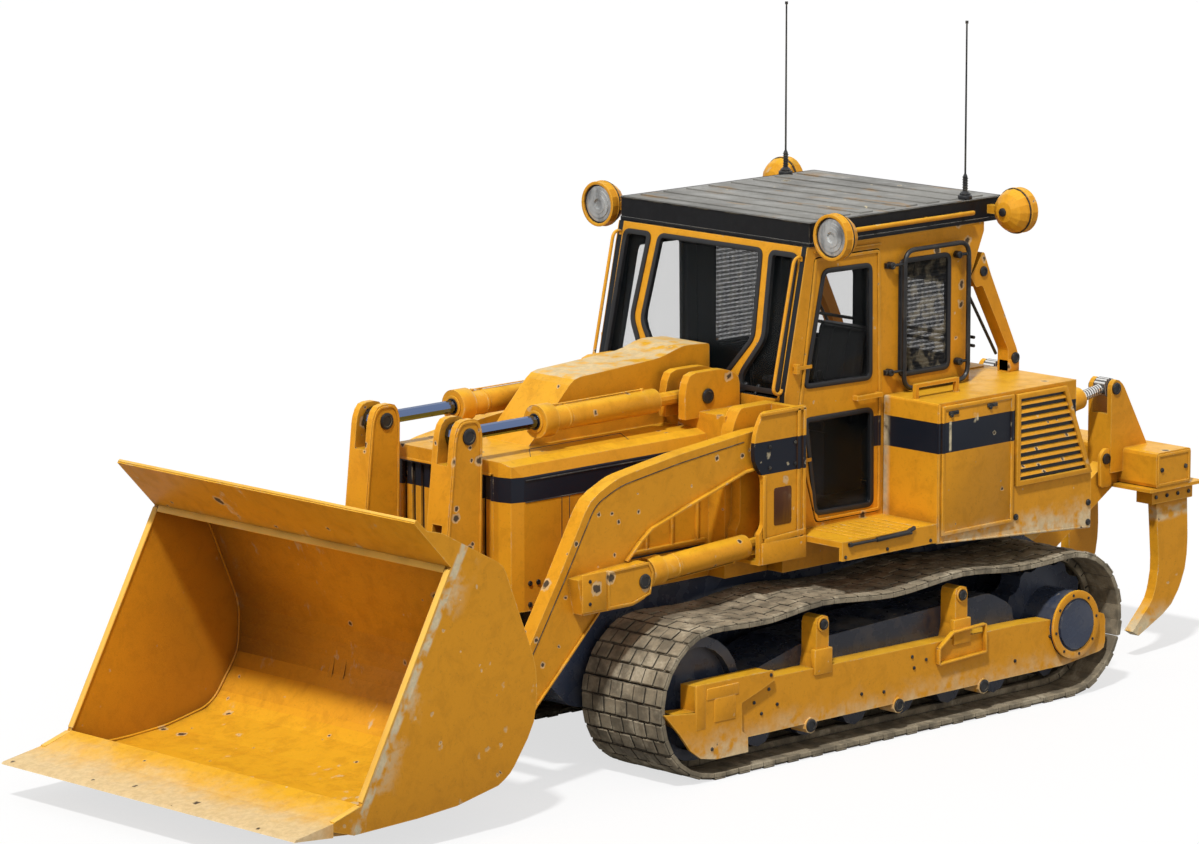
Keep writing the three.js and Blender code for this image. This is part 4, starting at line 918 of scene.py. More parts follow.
class LOADER_OT_glazing(Step, bpy.types.Operator):
    """Fit the panes and their rubber seals"""

    bl_idname = "loader.glazing"
    bl_label = "Glass and seals"

    def execute(self, context):
        sizes = context.scene.loader_sizes
        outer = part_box("cab_roof")[1].x - 0.002

        def fit(name, lines, body, sides=True):
            """Pane and seal in each outline; the outlines lie in the wall's outer plane."""
            panes, seals = [], []
            for line, inward in lines:
                edge = plain(line, 0.055, 5)
                lap = 0.010  # how far the seal reaches over the wall
                panes.append(plate([p + inward * 0.024 for p in edge], sizes.glass, 0.0015))
                seals.append(surround([p + inward * 0.004 for p in grown(edge, lap)],
                                      sizes.seal + lap, 0.030, 0.007))
            make = pair if sides else gathered
            make(name, panes, body, "body_paint", "cab_glass")
            make(name + "_seals", seals, body, "black_paint", "seal_rubber")

        upper = ((0.137, 3.195), (0.608, 3.189), (0.617, 2.394), (-0.042, 2.407))
        lower = ((-0.034, 2.191), (0.630, 2.187), (0.638, 1.510), (0.068, 1.520))
        rear = ((0.894, 3.180), (1.400, 3.180), (1.400, 2.377), (0.894, 2.377))
        fit("door_glass", [(profile(outer, line), -LEFT) for line in (upper, lower)], "door_{side}")
        fit("side_glass", [(profile(outer, rear), -LEFT)], "chassis")

        def front_y(z):
            return -0.015 - (3.363 - z) * 0.213 if z > 2.377 else -0.225 - (2.377 - z) * 0.044

        on_front = lambda line: [at(x, front_y(z), z) for x, z in line]
        side_pane = ((0.578, 3.308), (0.830, 3.308), (0.845, 2.380), (0.470, 2.380), (0.470, 2.480),
                     (0.628, 2.725))
        centre = ((-0.495, 3.310), (0.495, 3.310), (0.545, 2.715), (0.285, 2.380), (-0.285, 2.380),
                  (-0.545, 2.715))
        front_in = Vector((0, 0.978, -0.208))
        fit("front_glass", [(on_front(centre), front_in)], "chassis", sides=False)
        fit("front_side_glass", [(on_front(side_pane), front_in)], "chassis")
        back = ((0.160, 2.950), (0.760, 2.950), (0.760, 2.400), (0.160, 2.400))
        fit("back_glass", [([at(x, 1.610, z) for x, z in back], Vector((0, -1, 0)))], "chassis")
        return {"FINISHED"}


class LOADER_OT_cab_fittings(Step, bpy.types.Operator):
    """Add grab tubes, window guards, gutters and roof ribs to the cab"""

    bl_idname = "loader.cab_fittings"
    bl_label = "Cab fittings"

    def execute(self, context):
        sizes = context.scene.loader_sizes
        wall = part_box("cab_roof")[1].x - 0.002
        rail = tube(plain([at(0.872, -0.030, 3.305), at(0.872, -0.105, 3.290), at(0.872, -0.305, 2.400),
                           at(0.872, -0.225, 2.375)], 0.04), 0.012)
        gutter = [bar(at(wall + 0.008, 0.05, 3.322), at(wall + 0.008, 0.70, 3.318), 0.016, 0.012)]
        side_bar = [drum(at(0.962, 0.20, 3.446), at(0.962, 1.585, 3.446), 0.0165, 0.004, 20)]
        for y in (0.62, 1.15, 1.50):
            side_bar.append(block(at(0.910, y - 0.012, 3.436), at(0.958, y + 0.012, 3.456), 0.003))
        door_rim = ((0.059, 3.280), (0.690, 3.280), (0.713, 2.200), (0.713, 1.467), (0.082, 1.469),
                    (-0.115, 2.105))
        border = surround(plain(profile(wall + 0.004, door_rim), 0.03, 3), 0.020, 0.010, 0.003)
        pair("grab_rails", [rail] + gutter + side_bar, "chassis", "body_paint", "arm_yellow")
        pair("door_borders", [border], "door_{side}", "body_paint", "door_yellow")

        hoop = profile(wall + 0.045, ((0.900, 3.250), (1.548, 3.250), (1.548, 2.289), (0.900, 2.289)))
        guard = [tube(plain(hoop, 0.10, 6), sizes.guard_bar / 2, closed=True, rings=3)]
        for y, z, reach in ((0.783, 3.159, 0.900), (0.776, 2.419, 0.900), (1.459, 3.165, 1.548),
                            (1.471, 2.415, 1.548)):
            guard.append(disc(at(wall, y, z), LEFT, 0.050, 0.026, (0.008, -DISH), 0.006, 20))
            guard.append(drum(at(wall + 0.032, y, z), at(wall + 0.040, reach, z), 0.011, 0.002, 12))
        for y, z in ((0.745, 3.159), (0.745, 2.419)):
            guard.append(block(at(wall, y - 0.006, z - 0.018), at(wall + 0.030, y + 0.03, z + 0.018), 0.004))
        clear()
        bpy.ops.mesh.primitive_grid_add(x_subdivisions=26, y_subdivisions=38, size=1)
        mesh = bpy.context.object
        mesh.matrix_world = (Matrix.Translation(at(wall - 0.010, 1.147, 2.779))
                             @ Matrix.Rotation(math.radians(90), 4, "Y") @ Matrix.Diagonal((0.79, 0.50, 1, 1)))
        settled(mesh)
        bpy.ops.object.mode_set(mode="EDIT")
        bpy.ops.mesh.select_all(action="SELECT")
        bpy.ops.mesh.poke()
        bpy.ops.object.mode_set(mode="OBJECT")
        modified(mesh, "WIREFRAME", thickness=sizes.mesh_wire, use_even_offset=False)
        pair("window_guards", guard, "chassis", "black_paint", "black_steel")
        pair("guard_meshes", [mesh], "chassis", "black_paint", "black_steel")

        low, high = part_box("cab_roof")
        ribs = []
        for step in range(8):
            y = low.y + 0.19 + step * (high.y - low.y - 0.38) / 7
            rib = block((low.x + 0.07, y - 0.062, high.z - 0.004),
                        (high.x - 0.07, y + 0.062, high.z + 0.009), 0.002)
            modified(rib, "BEVEL", width=0.02, segments=3, limit_method="ANGLE", angle_limit=math.radians(50))
            ribs.append(rib)
        gathered("roof_ribs", ribs, "chassis", "roof_paint", "roof_plate")
        corner = plain([Vector((x, y, 0)) for x, y in (
            (low.x - 0.004, low.y - 0.004), (high.x + 0.004, low.y - 0.004),
            (high.x + 0.004, high.y + 0.004), (low.x - 0.004, high.y + 0.004))], 0.02)
        lips = [surround([Vector((p.x, p.y, z)) for p in corner], 0.022, tall, 0.003)
                for z, tall in ((high.z - 0.006, 0.012), (low.z + 0.014, 0.028))]
        gathered("roof_lips", lips, "chassis", "roof_paint", "roof_plate")
        springs = []
        for x in (0.865, -0.865):
            foot = at(x, 1.6, high.z)
            springs.append(disc(foot, UP, 0.03, 0.05, (0.012, 0.010), 0.006, 20))
            coil = [foot + Vector((0.018 * math.cos(a), 0.018 * math.sin(a), 0.055 + a * 0.0028))
                    for a in [step * math.pi / 6 for step in range(72)]]
            springs.append(tube(coil, 0.0035, rings=1))
        gathered("antenna_feet", springs, "chassis", "black_paint", "black_steel")
        return {"FINISHED"}


class LOADER_OT_lamps(Step, bpy.types.Operator):
    """Fit lenses, rings and brackets to the four work lamps"""

    bl_idname = "loader.lamps"
    bl_label = "Work lamps"

    def execute(self, context):
        rings, gaskets, lenses = [], [], []
        for y, ahead in ((0.076, -1), (1.800, 1)):
            middle, facing = at(1.123, y, 3.453), Vector((0, ahead, 0))

            def round_lamp(radius, along):
                return circle(middle + facing * along, radius, 36, LEFT)

            rings.append(surround(round_lamp(0.1585, 0.0925), 0.022, 0.009, 0.003))
            rings.append(tube(round_lamp(0.1565, 0.036), 0.0055, closed=True))
            gaskets.append(surround(round_lamp(0.1375, 0.078), 0.012, 0.010, 0.003))
            gaskets.append(tube(round_lamp(0.1545, 0.022), 0.0050, closed=True))
            lens = drum(middle + facing * 0.062, middle + facing * 0.080, 0.129, 0.003, 36)
            lenses.append(dished(lens, facing, [(0.028, 0.006), (0.030, 0.004), (0.030, -0.012)]))
            gaskets.append(drum(middle + facing * -0.085, middle + facing * -0.108, 0.030, 0.006, 16))
        pair("lamp_rings", rings, "chassis", "lamp_paint", "arm_yellow")
        pair("lamp_gaskets", gaskets, "chassis", "black_paint", "seal_rubber")
        pair("lamp_lenses", lenses, "chassis", "lamp_paint", "lens_glass")
        return {"FINISHED"}


class LOADER_OT_side_boxes(Step, bpy.types.Operator):
    """Add the doors, louvres, latches and bolts of the side boxes"""

    bl_idname = "loader.side_boxes"
    bl_label = "Side boxes"

    def execute(self, context):
        sizes = context.scene.loader_sizes
        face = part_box("side_box_left")[1].x
        door_line = profile(face + 0.006, ((0.784, 2.236), (1.490, 2.236), (1.490, 1.354), (0.784, 1.354)))
        door = plate(plain(door_line, 0.012, 2), 0.014, 0.004)
        edge_line = profile(face + 0.010, ((0.775, 2.243), (1.499, 2.243), (1.499, 1.346), (0.775, 1.346)))
        door_edge = surround(edge_line, 0.026, 0.022, 0.004)
        louvre_line = ((1.527, 2.238), (2.040, 2.238), (2.312, 1.592), (1.527, 1.592))
        louvre = surround(profile(face + 0.013, louvre_line), 0.036, 0.028, 0.004)
        slats = []
        for step in range(10):
            z = 1.668 + step * 0.0555
            rear = 2.012 + (2.238 - z) * 0.42
            slats.append(bar(at(face + 0.014, 1.556, z), at(face + 0.014, rear - 0.012, z), 0.006,
                             sizes.slat * 0.62, 0.002, side=(0.80, 0, 0.60)))
        corner_strip = bar(at(face + 0.004, 0.757, 2.255), at(face + 0.004, 0.757, 1.300), 0.008, 0.020)
        sill = bar(at(face - 0.004, 0.75, 1.302), at(face - 0.004, 2.32, 1.202), 0.022, 0.012)
        pair("box_doors", [door, door_edge, corner_strip, sill], "chassis", "body_paint", "box_yellow")
        pair("louvres", [louvre] + slats, "chassis", "body_paint", "arm_yellow")
        # A black plate behind the slats: painted shade in the gaps of the louvre.
        back_line = ((1.545, 2.220), (2.030, 2.220), (2.295, 1.605), (1.545, 1.605))
        dark = [plate(profile(face + 0.003, back_line), 0.004)]
        for y, z in ((0.884, 2.189), (1.275, 2.196)):
            latch = block(at(face + 0.010, y - 0.050, z - 0.012), at(face + 0.022, y + 0.050, z + 0.014), 0.004)
            dark.append(dished(latch, LEFT, [(0.006, -DISH)]))
            dark.append(drum(at(face + 0.012, y - 0.02, z - 0.014), at(face + 0.026, y - 0.02, z - 0.014),
                             0.014, 0.003, 14))
        dark += bolts(profile(face, ((1.544, 1.374), (2.300, 1.376), (2.300, 1.236))), LEFT, 0.024, 0.012)
        dark += bolts(profile(face + 0.012, ((0.80, 2.222), (0.80, 1.37), (1.474, 2.222), (1.474, 1.37))),
                      LEFT, 0.008, 0.005)
        pair("box_catches_and_louvre_shade", dark, "chassis", "black_paint", "black_steel")
        return {"FINISHED"}


class LOADER_OT_deck_and_towers(Step, bpy.types.Operator):
    """Add the towers' plates, the deck's tread and the step levers"""

    bl_idname = "loader.deck_and_towers"
    bl_label = "Deck and towers"

    def execute(self, context):
        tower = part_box("loader_frame")[1].x
        border = [bar(at(tower + 0.006, y, 1.300), at(tower + 0.006, y, 2.320), 0.012, 0.026)
                  for y in (-0.216, -0.270)]
        border += [bar(at(tower + 0.006, -0.598, 1.470), at(tower + 0.006, -0.598, 1.900), 0.012, 0.026),
                   bar(at(tower + 0.007, -0.600, 1.450), at(tower + 0.007, -0.205, 1.472), 0.014, 0.040),
                   bar(at(tower + 0.006, -0.640, 2.316), at(tower + 0.006, -0.205, 2.316), 0.012, 0.022)]
        foot = block(at(tower - 0.02, -0.625, 1.292), at(tower + 0.016, -0.200, 1.442), 0.006)
        label_line = ((-0.502, 1.802), (-0.335, 1.802), (-0.335, 1.545), (-0.502, 1.545))
        label = plate(plain(profile(tower + 0.001, label_line), 0.02, 3), 0.004, 0.001)
        pair("tower_borders", border + [foot], "chassis", "body_paint", "tower_yellow")
        pair("tower_rust_plates", [label], "chassis", "body_paint", "rust_paint")
        edge = 1.432
        lever = [drum(at(edge, -0.110, 1.412), at(edge, 0.480, 1.412), 0.0105, 0.003, 14),
                 drum(at(edge, 0.130, 1.412), at(edge, 0.455, 1.420), 0.0165, 0.006, 16),
                 drum(at(edge, 0.420, 1.418), at(edge - 0.012, 0.520, 1.440), 0.0150, 0.005, 16),
                 block(at(edge - 0.02, -0.135, 1.398), at(edge + 0.012, -0.105, 1.426), 0.004)]
        lever += bolts([at(1.4195, y, 1.33) for y in (-0.16, 0.25, 0.68)], LEFT, 0.013, 0.008)
        pair("step_levers", lever, "chassis", "black_paint", "black_steel")
        treads = [block(at(0.97, y - 0.012, 1.434), at(1.395, y + 0.012, 1.439), 0.002, 1)
                  for y in [0.02 + 0.08 * step for step in range(8)]]
        pair("deck_treads", treads, "chassis", "body_paint", "body_yellow")
        brackets = [disc(at(x, -0.580, 2.370), (facing, 0, 0), tall, 0.052, (0.014, -DISH))
                    for x, facing, tall in ((0.274, -1, 0.013), (0.526, 1, 0.014))]
        plate_bolts = bolts([at(tower, y, z) for y in (-0.545, -0.300) for z in (1.945, 2.090)],
                            LEFT, 0.014, 0.008)
        pair("bracket_caps", brackets + plate_bolts, "chassis", "black_paint", "black_steel")
        return {"FINISHED"}


class LOADER_OT_hood_details(Step, bpy.types.Operator):
    """Add seams, bolts, ribs and lugs to the hood"""

    bl_idname = "loader.hood_details"
    bl_label = "Hood details"

    def execute(self, context):
        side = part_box("engine_hood")[1].x
        panel = [at(x, y, 2.1605) for x, y in ((0.500, -2.200), (0.300, -2.020), (0.300, -1.180), (0.500, -1.300))]
        seams = [tube(panel, 0.0028, rings=1)]
        seams += [tube([at(side, y, 1.885), at(side, y, 1.200)], 0.0030, rings=1) for y in (-2.030, -1.960)]
        seams += [tube([at(side + 0.001, -2.36, z), at(side + 0.001, -0.68, z)], radius, rings=1)
                  for z, radius in ((1.890, 0.0045), (2.034, 0.0060))]
        seams += [bar(at(side + 0.002, -1.62, z), at(side + 0.002, -0.70, z), 0.006, 0.014, 0.002)
                  for z in (1.240, 1.275, 1.310, 1.345, 1.380)]
        seams += bolts([at(side, y, z) for y in (-2.320, -2.246) for z in (1.345, 1.203)],
                       LEFT, 0.019, 0.010)
        seams += bolts([at(side, y, 1.80) for y in (-1.75, -1.45, -1.15, -0.85)], LEFT, 0.012, 0.007)
        pair("hood_seams", seams, "chassis", "black_paint", "black_steel")
        ribs = [block(at(side - 0.005, y - 0.010, 1.41), at(side + 0.022, y + 0.010, 1.76), 0.004)
                for y in (-1.50, -1.26, -1.02, -0.78)]
        ribs.append(block(at(side - 0.005, -1.62, 1.405), at(side + 0.030, -0.70, 1.430), 0.005))
        frame_bars = [block(at(0.428, -2.494, 1.235), at(0.456, -2.476, 2.075), 0.004),
                      block(at(-0.0005, -2.494, 2.050), at(0.456, -2.476, 2.075), 0.004)]
        pair("hood_ribs", ribs + frame_bars, "chassis", "body_paint", "hood_yellow")
        # A black sheet behind the grille: painted shade.
        behind = block(at(-0.425, -2.452, 1.255), at(0.425, -2.4505, 2.055), 0.0005, 1)
        gathered("grille_shade", [behind], "chassis", "black_paint", "black_steel")
        return {"FINISHED"}


class LOADER_OT_arms(Step, bpy.types.Operator):
    """Add flanges, grooves and pin caps to the lift arms"""

    bl_idname = "loader.arms"
    bl_label = "Lift arms"

    def execute(self, context):
        face = 1.0095
        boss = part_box("lift_arms")[1].x
        groove = profile(face + 0.0005, (
            (-0.720, 2.135), (-1.337, 2.068), (-1.868, 1.990), (-2.098, 1.895), (-2.388, 1.415),
            (-2.655, 0.995), (-2.985, 0.540)))
        dark = [tube(plain_open(groove, 0.08), 0.0035, rings=1)]
        low_line = profile(face + 0.014, (
            (-0.600, 1.946), (-0.721, 1.934), (-1.242, 1.779), (-1.600, 1.668), (-1.700, 1.598), (-1.830, 1.480)))
        rim = [bar(a, b, 0.030, 0.016, 0.003) for a, b in zip(low_line, low_line[1:])]
        fore_line = profile(face + 0.008, ((-2.075, 1.176), (-2.350, 0.910), (-2.638, 0.640), (-2.880, 0.385)))
        rim += [bar(a, b, 0.018, 0.014, 0.003) for a, b in zip(fore_line, fore_line[1:])]
        hand = [block(at(boss - 0.004, -2.318, 1.215), at(boss + 0.010, -2.100, 1.470), 0.004)]
        hand.append(surround(profile(boss + 0.003, (
            (-2.080, 1.462), (-1.705, 1.472), (-1.660, 1.398), (-1.690, 1.256), (-1.850, 1.210), (-2.080, 1.210))),
            0.016, 0.010))
        hub = [surround(circle(at(face + 0.006, -2.960, 0.470), 0.098, 32), 0.026, 0.012)]
        pair("arm_flanges", rim + hand + hub, "lift_arms", "body_paint", "arm_yellow")
        dark.append(disc(at(boss - 0.002, -1.742, 1.348), LEFT, 0.014, 0.050, (0.012, -DISH), sides=28))
        dark += bolts([at(boss + 0.010, -2.25, z) for z in (1.27, 1.42)], LEFT, 0.013, 0.007)
        pair("arm_caps", dark, "lift_arms", "black_paint", "black_steel")
        ring = [disc(at(x - 0.012, -2.550, 0.860), LEFT, 0.024, 0.099, (0.006, 0.003), 0.006, 32)
                for x in (-0.55, -0.10, 0.10, 0.55)]
        gathered("cross_tube_bands", ring, "lift_arms", "body_paint", "arm_yellow")
        return {"FINISHED"}


class LOADER_OT_linkage(Step, bpy.types.Operator):
    """Add rims and caps to the tilt levers, and glands and pipes to the cylinders"""

    bl_idname = "loader.linkage"
    bl_label = "Levers and cylinders"

    def execute(self, context):
        def around(middle, direction, radius, along, count=28):
            """A circle about a cylinder's axis, at a distance along it."""
            return circle(middle + direction * along, radius, count, LEFT, direction.cross(LEFT).normalized())

        top = (-2.750, 2.360)
        outline = ((-2.872, 2.380), (-2.944, 1.690), (-2.948, 1.540), (-2.875, 0.760), (-2.866, 0.630),
                   (-2.735, 0.630), (-2.730, 0.775), (-2.666, 1.300), (-2.648, 1.600), (-2.634, 2.380),
                   (-2.676, 2.465), (-2.824, 2.465))
        caps, rims = [], []
        for x, facing in ((0.500, 1), (0.300, -1)):
            rims.append(surround(plain(profile(x + facing * 0.003, outline), 0.05, 4), 0.016, 0.009, 0.003))
            for y, z, radius in ((-2.750, 2.362, 0.056), (-2.840, 1.620, 0.050), (-2.800, 0.695, 0.040)):
                caps.append(pin_cap(x, y, z, facing, radius, 0.014, 26))
        pair("lever_rims", rims, "tilt_levers", "body_paint", "arm_yellow")
        pair("lever_caps", caps, "tilt_levers", "black_paint", "black_steel")

        for name, start, end, x, back, far, radius, collar, rod, near, pipe_side in (
            ("tilt", (-0.580, 2.370), top, 0.400, 0.390, 1.480, 0.082, 0.110, 0.045, 0.50, UP),
            ("lift", (-0.400, 1.420), (-1.790, 1.350), 0.952, 0.260, 1.190, 0.080, 0.100, 0.045, 0.36, -UP),
            ("ripper", (2.500, 1.780), (3.475, 1.945), 0.540, 0.090, 0.700, 0.070, 0.080, 0.040, 0.17, UP),
        ):
            body = f"{name}_barrels"
            foot, tip = at(x, *start), at(x, *end)
            direction = (tip - foot).normalized()
            shoulder = far - 0.120
            rings = [surround(around(foot, direction, radius + 0.0015, (back + shoulder) / 2, 48),
                              0.004, shoulder - back, 0.001),
                     surround(around(foot, direction, collar + 0.0015, (shoulder + far) / 2, 48),
                              0.004, 0.122, 0.0015),
                     surround(around(foot, direction, rod + 0.030, far + 0.004), 0.026, 0.010, 0.003),
                     surround(around(foot, direction, radius + 0.006, far - 0.26), 0.010, 0.020, 0.003)]
            lift = (pipe_side - direction * pipe_side.dot(direction)).normalized()
            reach = radius + 0.011
            ends = [foot + direction * along for along in (near, far - 0.17)]
            path = [ends[0] + lift * (radius - 0.004), ends[0] + lift * reach,
                    ends[1] + lift * reach, ends[1] + lift * (radius - 0.004)]
            rings.append(tube(path, 0.0065, rings=1))
            rings += [drum(end + lift * (radius - 0.01), end + lift * (reach + 0.006), 0.014, 0.003, 12)
                      for end in ends]
            pair(f"{name}_pipes", rings, body, "body_paint", "arm_yellow")
            seal = [surround(around(foot, direction, rod + 0.010, far + 0.010), 0.009, 0.008, 0.002)]
            pair(f"{name}_rod_seals", seal, body, "black_paint", "seal_rubber")
        return {"FINISHED"}


class LOADER_OT_bucket_details(Step, bpy.types.Operator):
    """Add edge strips, welds and wear plates to the bucket"""

    bl_idname = "loader.bucket_details"
    bl_label = "Bucket details"

    def execute(self, context):
        low_front, high_front = (-4.545, 0.392), (-3.792, 1.768)
        lifted = BUCKET_MOUTH * 0.002
        strip = bar(at(1.427, *low_front) + lifted, at(1.427, *high_front) + lifted, 0.046, 0.012, 0.003)
        nose = bar(at(1.427, -4.780, 0.306), at(1.427, -4.565, 0.372), 0.046, 0.012, 0.003)
        pair("bucket_side_strips", [strip, nose], "bucket", "body_paint", "bright_yellow")
        top = bar(at(-1.400, -3.796, 1.765), at(1.400, -3.796, 1.765), 0.046, 0.012, 0.003,
                  side=(0, -0.4797, -0.8774))
        guard_top = bar(at(-1.448, -4.085, 2.118), at(1.448, -4.085, 2.118), 0.020, 0.012, 0.003,
                        side=(0, 1, 0.8))
        gathered("bucket_top_strips", [top, guard_top], "bucket", "body_paint", "bright_yellow")
        inside = ((-4.520, 0.253), (-4.080, 0.255), (-3.744, 0.279), (-3.402, 0.350), (-3.310, 0.408),
                  (-3.105, 0.695), (-3.090, 1.012), (-3.388, 1.695), (-3.700, 1.745))
        bead = tube(plain_open(profile(1.411, inside), 0.10), 0.011, rings=2)
        welds = [modified(bead, "SUBSURF", levels=1, render_levels=1)]
        for x in (0.60, 1.20):
            welds.append(plate(profile(x, ((-3.380, 1.640), (-3.640, 1.752), (-3.440, 1.690))), 0.018, 0.003))
        pair("bucket_welds", welds, "bucket", "body_paint", "bucket_yellow")
        wear = []
        for x in (0.25, 0.75, 1.25):
            wear.append(bar(at(x, -4.560, 0.196), at(x, -4.090, 0.208), 0.10, 0.016, 0.004))
            wear.append(bar(at(x, -4.075, 0.208), at(x, -3.750, 0.231), 0.10, 0.016, 0.004))
        pair("bucket_wear_plates", wear, "bucket", "body_paint", "bucket_yellow")
        return {"FINISHED"}


class LOADER_OT_rear(Step, bpy.types.Operator):
    """Add braces' caps, rails, the ripper's pins and bolts, and the rear screen"""

    bl_idname = "loader.rear"
    bl_label = "Rear fittings"

    def execute(self, context):
        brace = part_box("roof_brace_left")[1].x
        caps = []
        for y, z, radius in ((1.770, 3.010, 0.036), (2.110, 2.360, 0.040)):
            for x, facing in ((brace, 1), (0.790, -1)):
                caps.append(pin_cap(x, y, z, facing, radius))
        caps.append(tube([at(0.800, 1.640, 2.960), at(0.800, 2.010, 2.390)], 0.011))
        pair("brace_caps", caps, "chassis", "black_paint", "black_steel")
        rails = [drum(at(-0.795, 1.790, z), at(0.795, 1.790, z), 0.012, 0.003, 14) for z in (2.470, 2.530)]
        rails += [drum(at(x, 1.612, z), at(x, 1.790, z), 0.010, 0.002, 12)
                  for z in (2.470, 2.530) for x in (-0.05, 0.05)]
        gathered("brace_rails", rails, "chassis", "black_paint", "black_steel")
        clip = block(at(0.800, 2.040, 2.265), at(brace + 0.004, 2.155, 2.355), 0.008)
        pair("brace_feet", [clip], "chassis", "body_paint", "body_yellow")

        pins = [pin_cap(x, 3.475, 1.945, facing, 0.044, 0.012, 26) for x, facing in ((0.650, 1), (0.430, -1))]
        lug_line = ((3.330, 1.230), (3.450, 1.230), (3.450, 1.500), (3.380, 1.520), (3.325, 1.470))
        lug = plate(plain(profile(0.626, lug_line), 0.025, 3), 0.030, 0.006)
        pins.append(disc(at(0.638, 3.385, 1.440), LEFT, 0.018, 0.040, (0.010, -DISH)))
        for x in (0.860, 0.0):
            pins += bolts([at(x + 0.0752, y, 1.168) for y in (3.600, 3.720, 3.840, 3.960)], LEFT, 0.015, 0.010)
        pins += bolts([at(0.9705, y, 1.370) for y in (3.620, 3.880)], LEFT, 0.018, 0.010)
        edge_line = profile(0.972, ((3.572, 1.488), (3.928, 1.488), (3.928, 1.252), (3.572, 1.252)))
        edge = surround(edge_line, 0.020, 0.010)
        pair("ripper_caps", pins, "ripper", "black_paint", "black_steel")
        pair("ripper_plates", [lug, edge], "ripper", "body_paint", "shank_yellow")

        deck_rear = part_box("rear_deck")[1].y
        screen = surround([Vector((x, deck_rear + 0.004, z)) for x, z in (
            (-0.38, 1.545), (0.38, 1.545), (0.38, 1.20), (-0.38, 1.20))], 0.03, 0.012)
        gathered("rear_screen", [screen], "chassis", "body_paint", "body_yellow")
        hatch = [block(at(-0.62, 1.72, 2.262), at(0.62, 2.09, 2.276), 0.006)]
        hatch += [bar(at(x, 1.80, 2.280), at(x, 2.01, 2.280), 0.018, 0.010) for x in (-0.30, 0.30)]
        gathered("deck_hatch", hatch, "chassis", "body_paint", "body_yellow")
        return {"FINISHED"}


class LOADER_OT_operator_place(Step, bpy.types.Operator):
    """Upholster the seat and add the controls in the cab"""

    bl_idname = "loader.operator_place"
    bl_label = "Seat and controls"

    def cushion(self, name, low, high, lean):
        """A crowned pad that swells from a smaller box, with two sewn channels along its top."""
        middle = (Vector(low) + Vector(high)) / 2
        size = Vector(high) - Vector(low)
        clear()
        bpy.ops.mesh.primitive_cube_add(size=1)
        pad = bpy.context.object
        pad.scale = (size.x - 0.03, size.y - 0.03, size.z - 0.02)
        settled(pad)
        eased(pad, 0.028, 3)
        modified(pad, "REMESH", mode="VOXEL", voxel_size=0.014)
        chosen(pad)
        bpy.ops.object.modifier_add(type="CLOTH")
        cloth = pad.modifiers[-1]
        cloth.settings.use_pressure = True
        cloth.settings.uniform_pressure_force = 4.0
        cloth.settings.effector_weights.gravity = 0.0
        cloth.settings.tension_stiffness = 40.0
        most_swell, last_frame = 0.014, 12
        rest = [vertex.co.copy() for vertex in pad.data.vertices]
        for step in range(1, last_frame + 1):
            bpy.context.scene.frame_set(step)
        bpy.ops.object.modifier_apply(modifier=cloth.name)
        for vertex, start in zip(pad.data.vertices, rest):
            change = vertex.co - start
            if change.length > most_swell:
                vertex.co = start + change.normalized() * most_swell
        bpy.context.scene.frame_set(1)
        modified(pad, "SUBSURF", levels=1, render_levels=1)
        depth = size.z / 2
        for vertex in pad.data.vertices:
            p = vertex.co
            if p.z > 0:
                for line in (-0.165 * size.x, 0.165 * size.x):
                    p.z -= 0.008 * math.exp(-((p.x - line) / 0.010) ** 2) * min(1.0, p.z / (depth * 0.6))
        pad.matrix_world = Matrix.Translation(middle) @ Matrix.Rotation(lean, 4, "X")
        settled(pad)
        pad = gathered(name, [pad], "chassis", "seat_vinyl", "seat_vinyl", 60)
        return pad

    def execute(self, context):
        self.cushion("seat_cushion", at(-0.25, 0.82, 2.010), at(0.25, 1.28, 2.100), math.radians(2))
        self.cushion("seat_back", at(-0.24, 1.03, 2.320), at(0.24, 1.51, 2.400), math.radians(78))
        parts = []
        for x in (-0.33, 0.33):
            parts.append(block(at(x - 0.045, 0.86, 2.18), at(x + 0.045, 1.24, 2.225), 0.018, 3))
            parts.append(block(at(x - 0.02, 1.02, 1.95), at(x + 0.02, 1.10, 2.185), 0.006))
        for x in (-0.34, 0.34):
            parts.append(tube(plain_open([at(x, 0.76, 1.94), at(x, 0.74, 2.16), at(x, 0.72, 2.30)], 0.05), 0.011))
            parts.append(drum(at(x, 0.722, 2.285), at(x, 0.700, 2.365), 0.024, 0.010, 16))
        for x in (-0.12, 0.0, 0.12):
            parts.append(tube([at(x, 0.20, 2.10), at(x, 0.32, 2.26)], 0.008))
            parts.append(drum(at(x, 0.312, 2.25), at(x, 0.338, 2.285), 0.017, 0.007, 14))
        for x in (-0.22, 0.22):
            parts.append(bar(at(x, 0.28, 1.52), at(x, 0.36, 1.64), 0.09, 0.014, 0.004))
            parts.append(drum(at(x, 0.23, 1.48), at(x, 0.30, 1.56), 0.010, 0.002, 10))
        parts.append(block(at(-0.34, 0.105, 2.235), at(0.34, 0.125, 2.262), 0.004))
        mat = block(at(-0.78, 0.08, 1.4355), at(0.78, 1.50, 1.4425), 0.003, 1)
        gathered("controls_and_arm_rests", parts + [mat], "chassis", "seat_vinyl", "control_plastic")
        return {"FINISHED"}


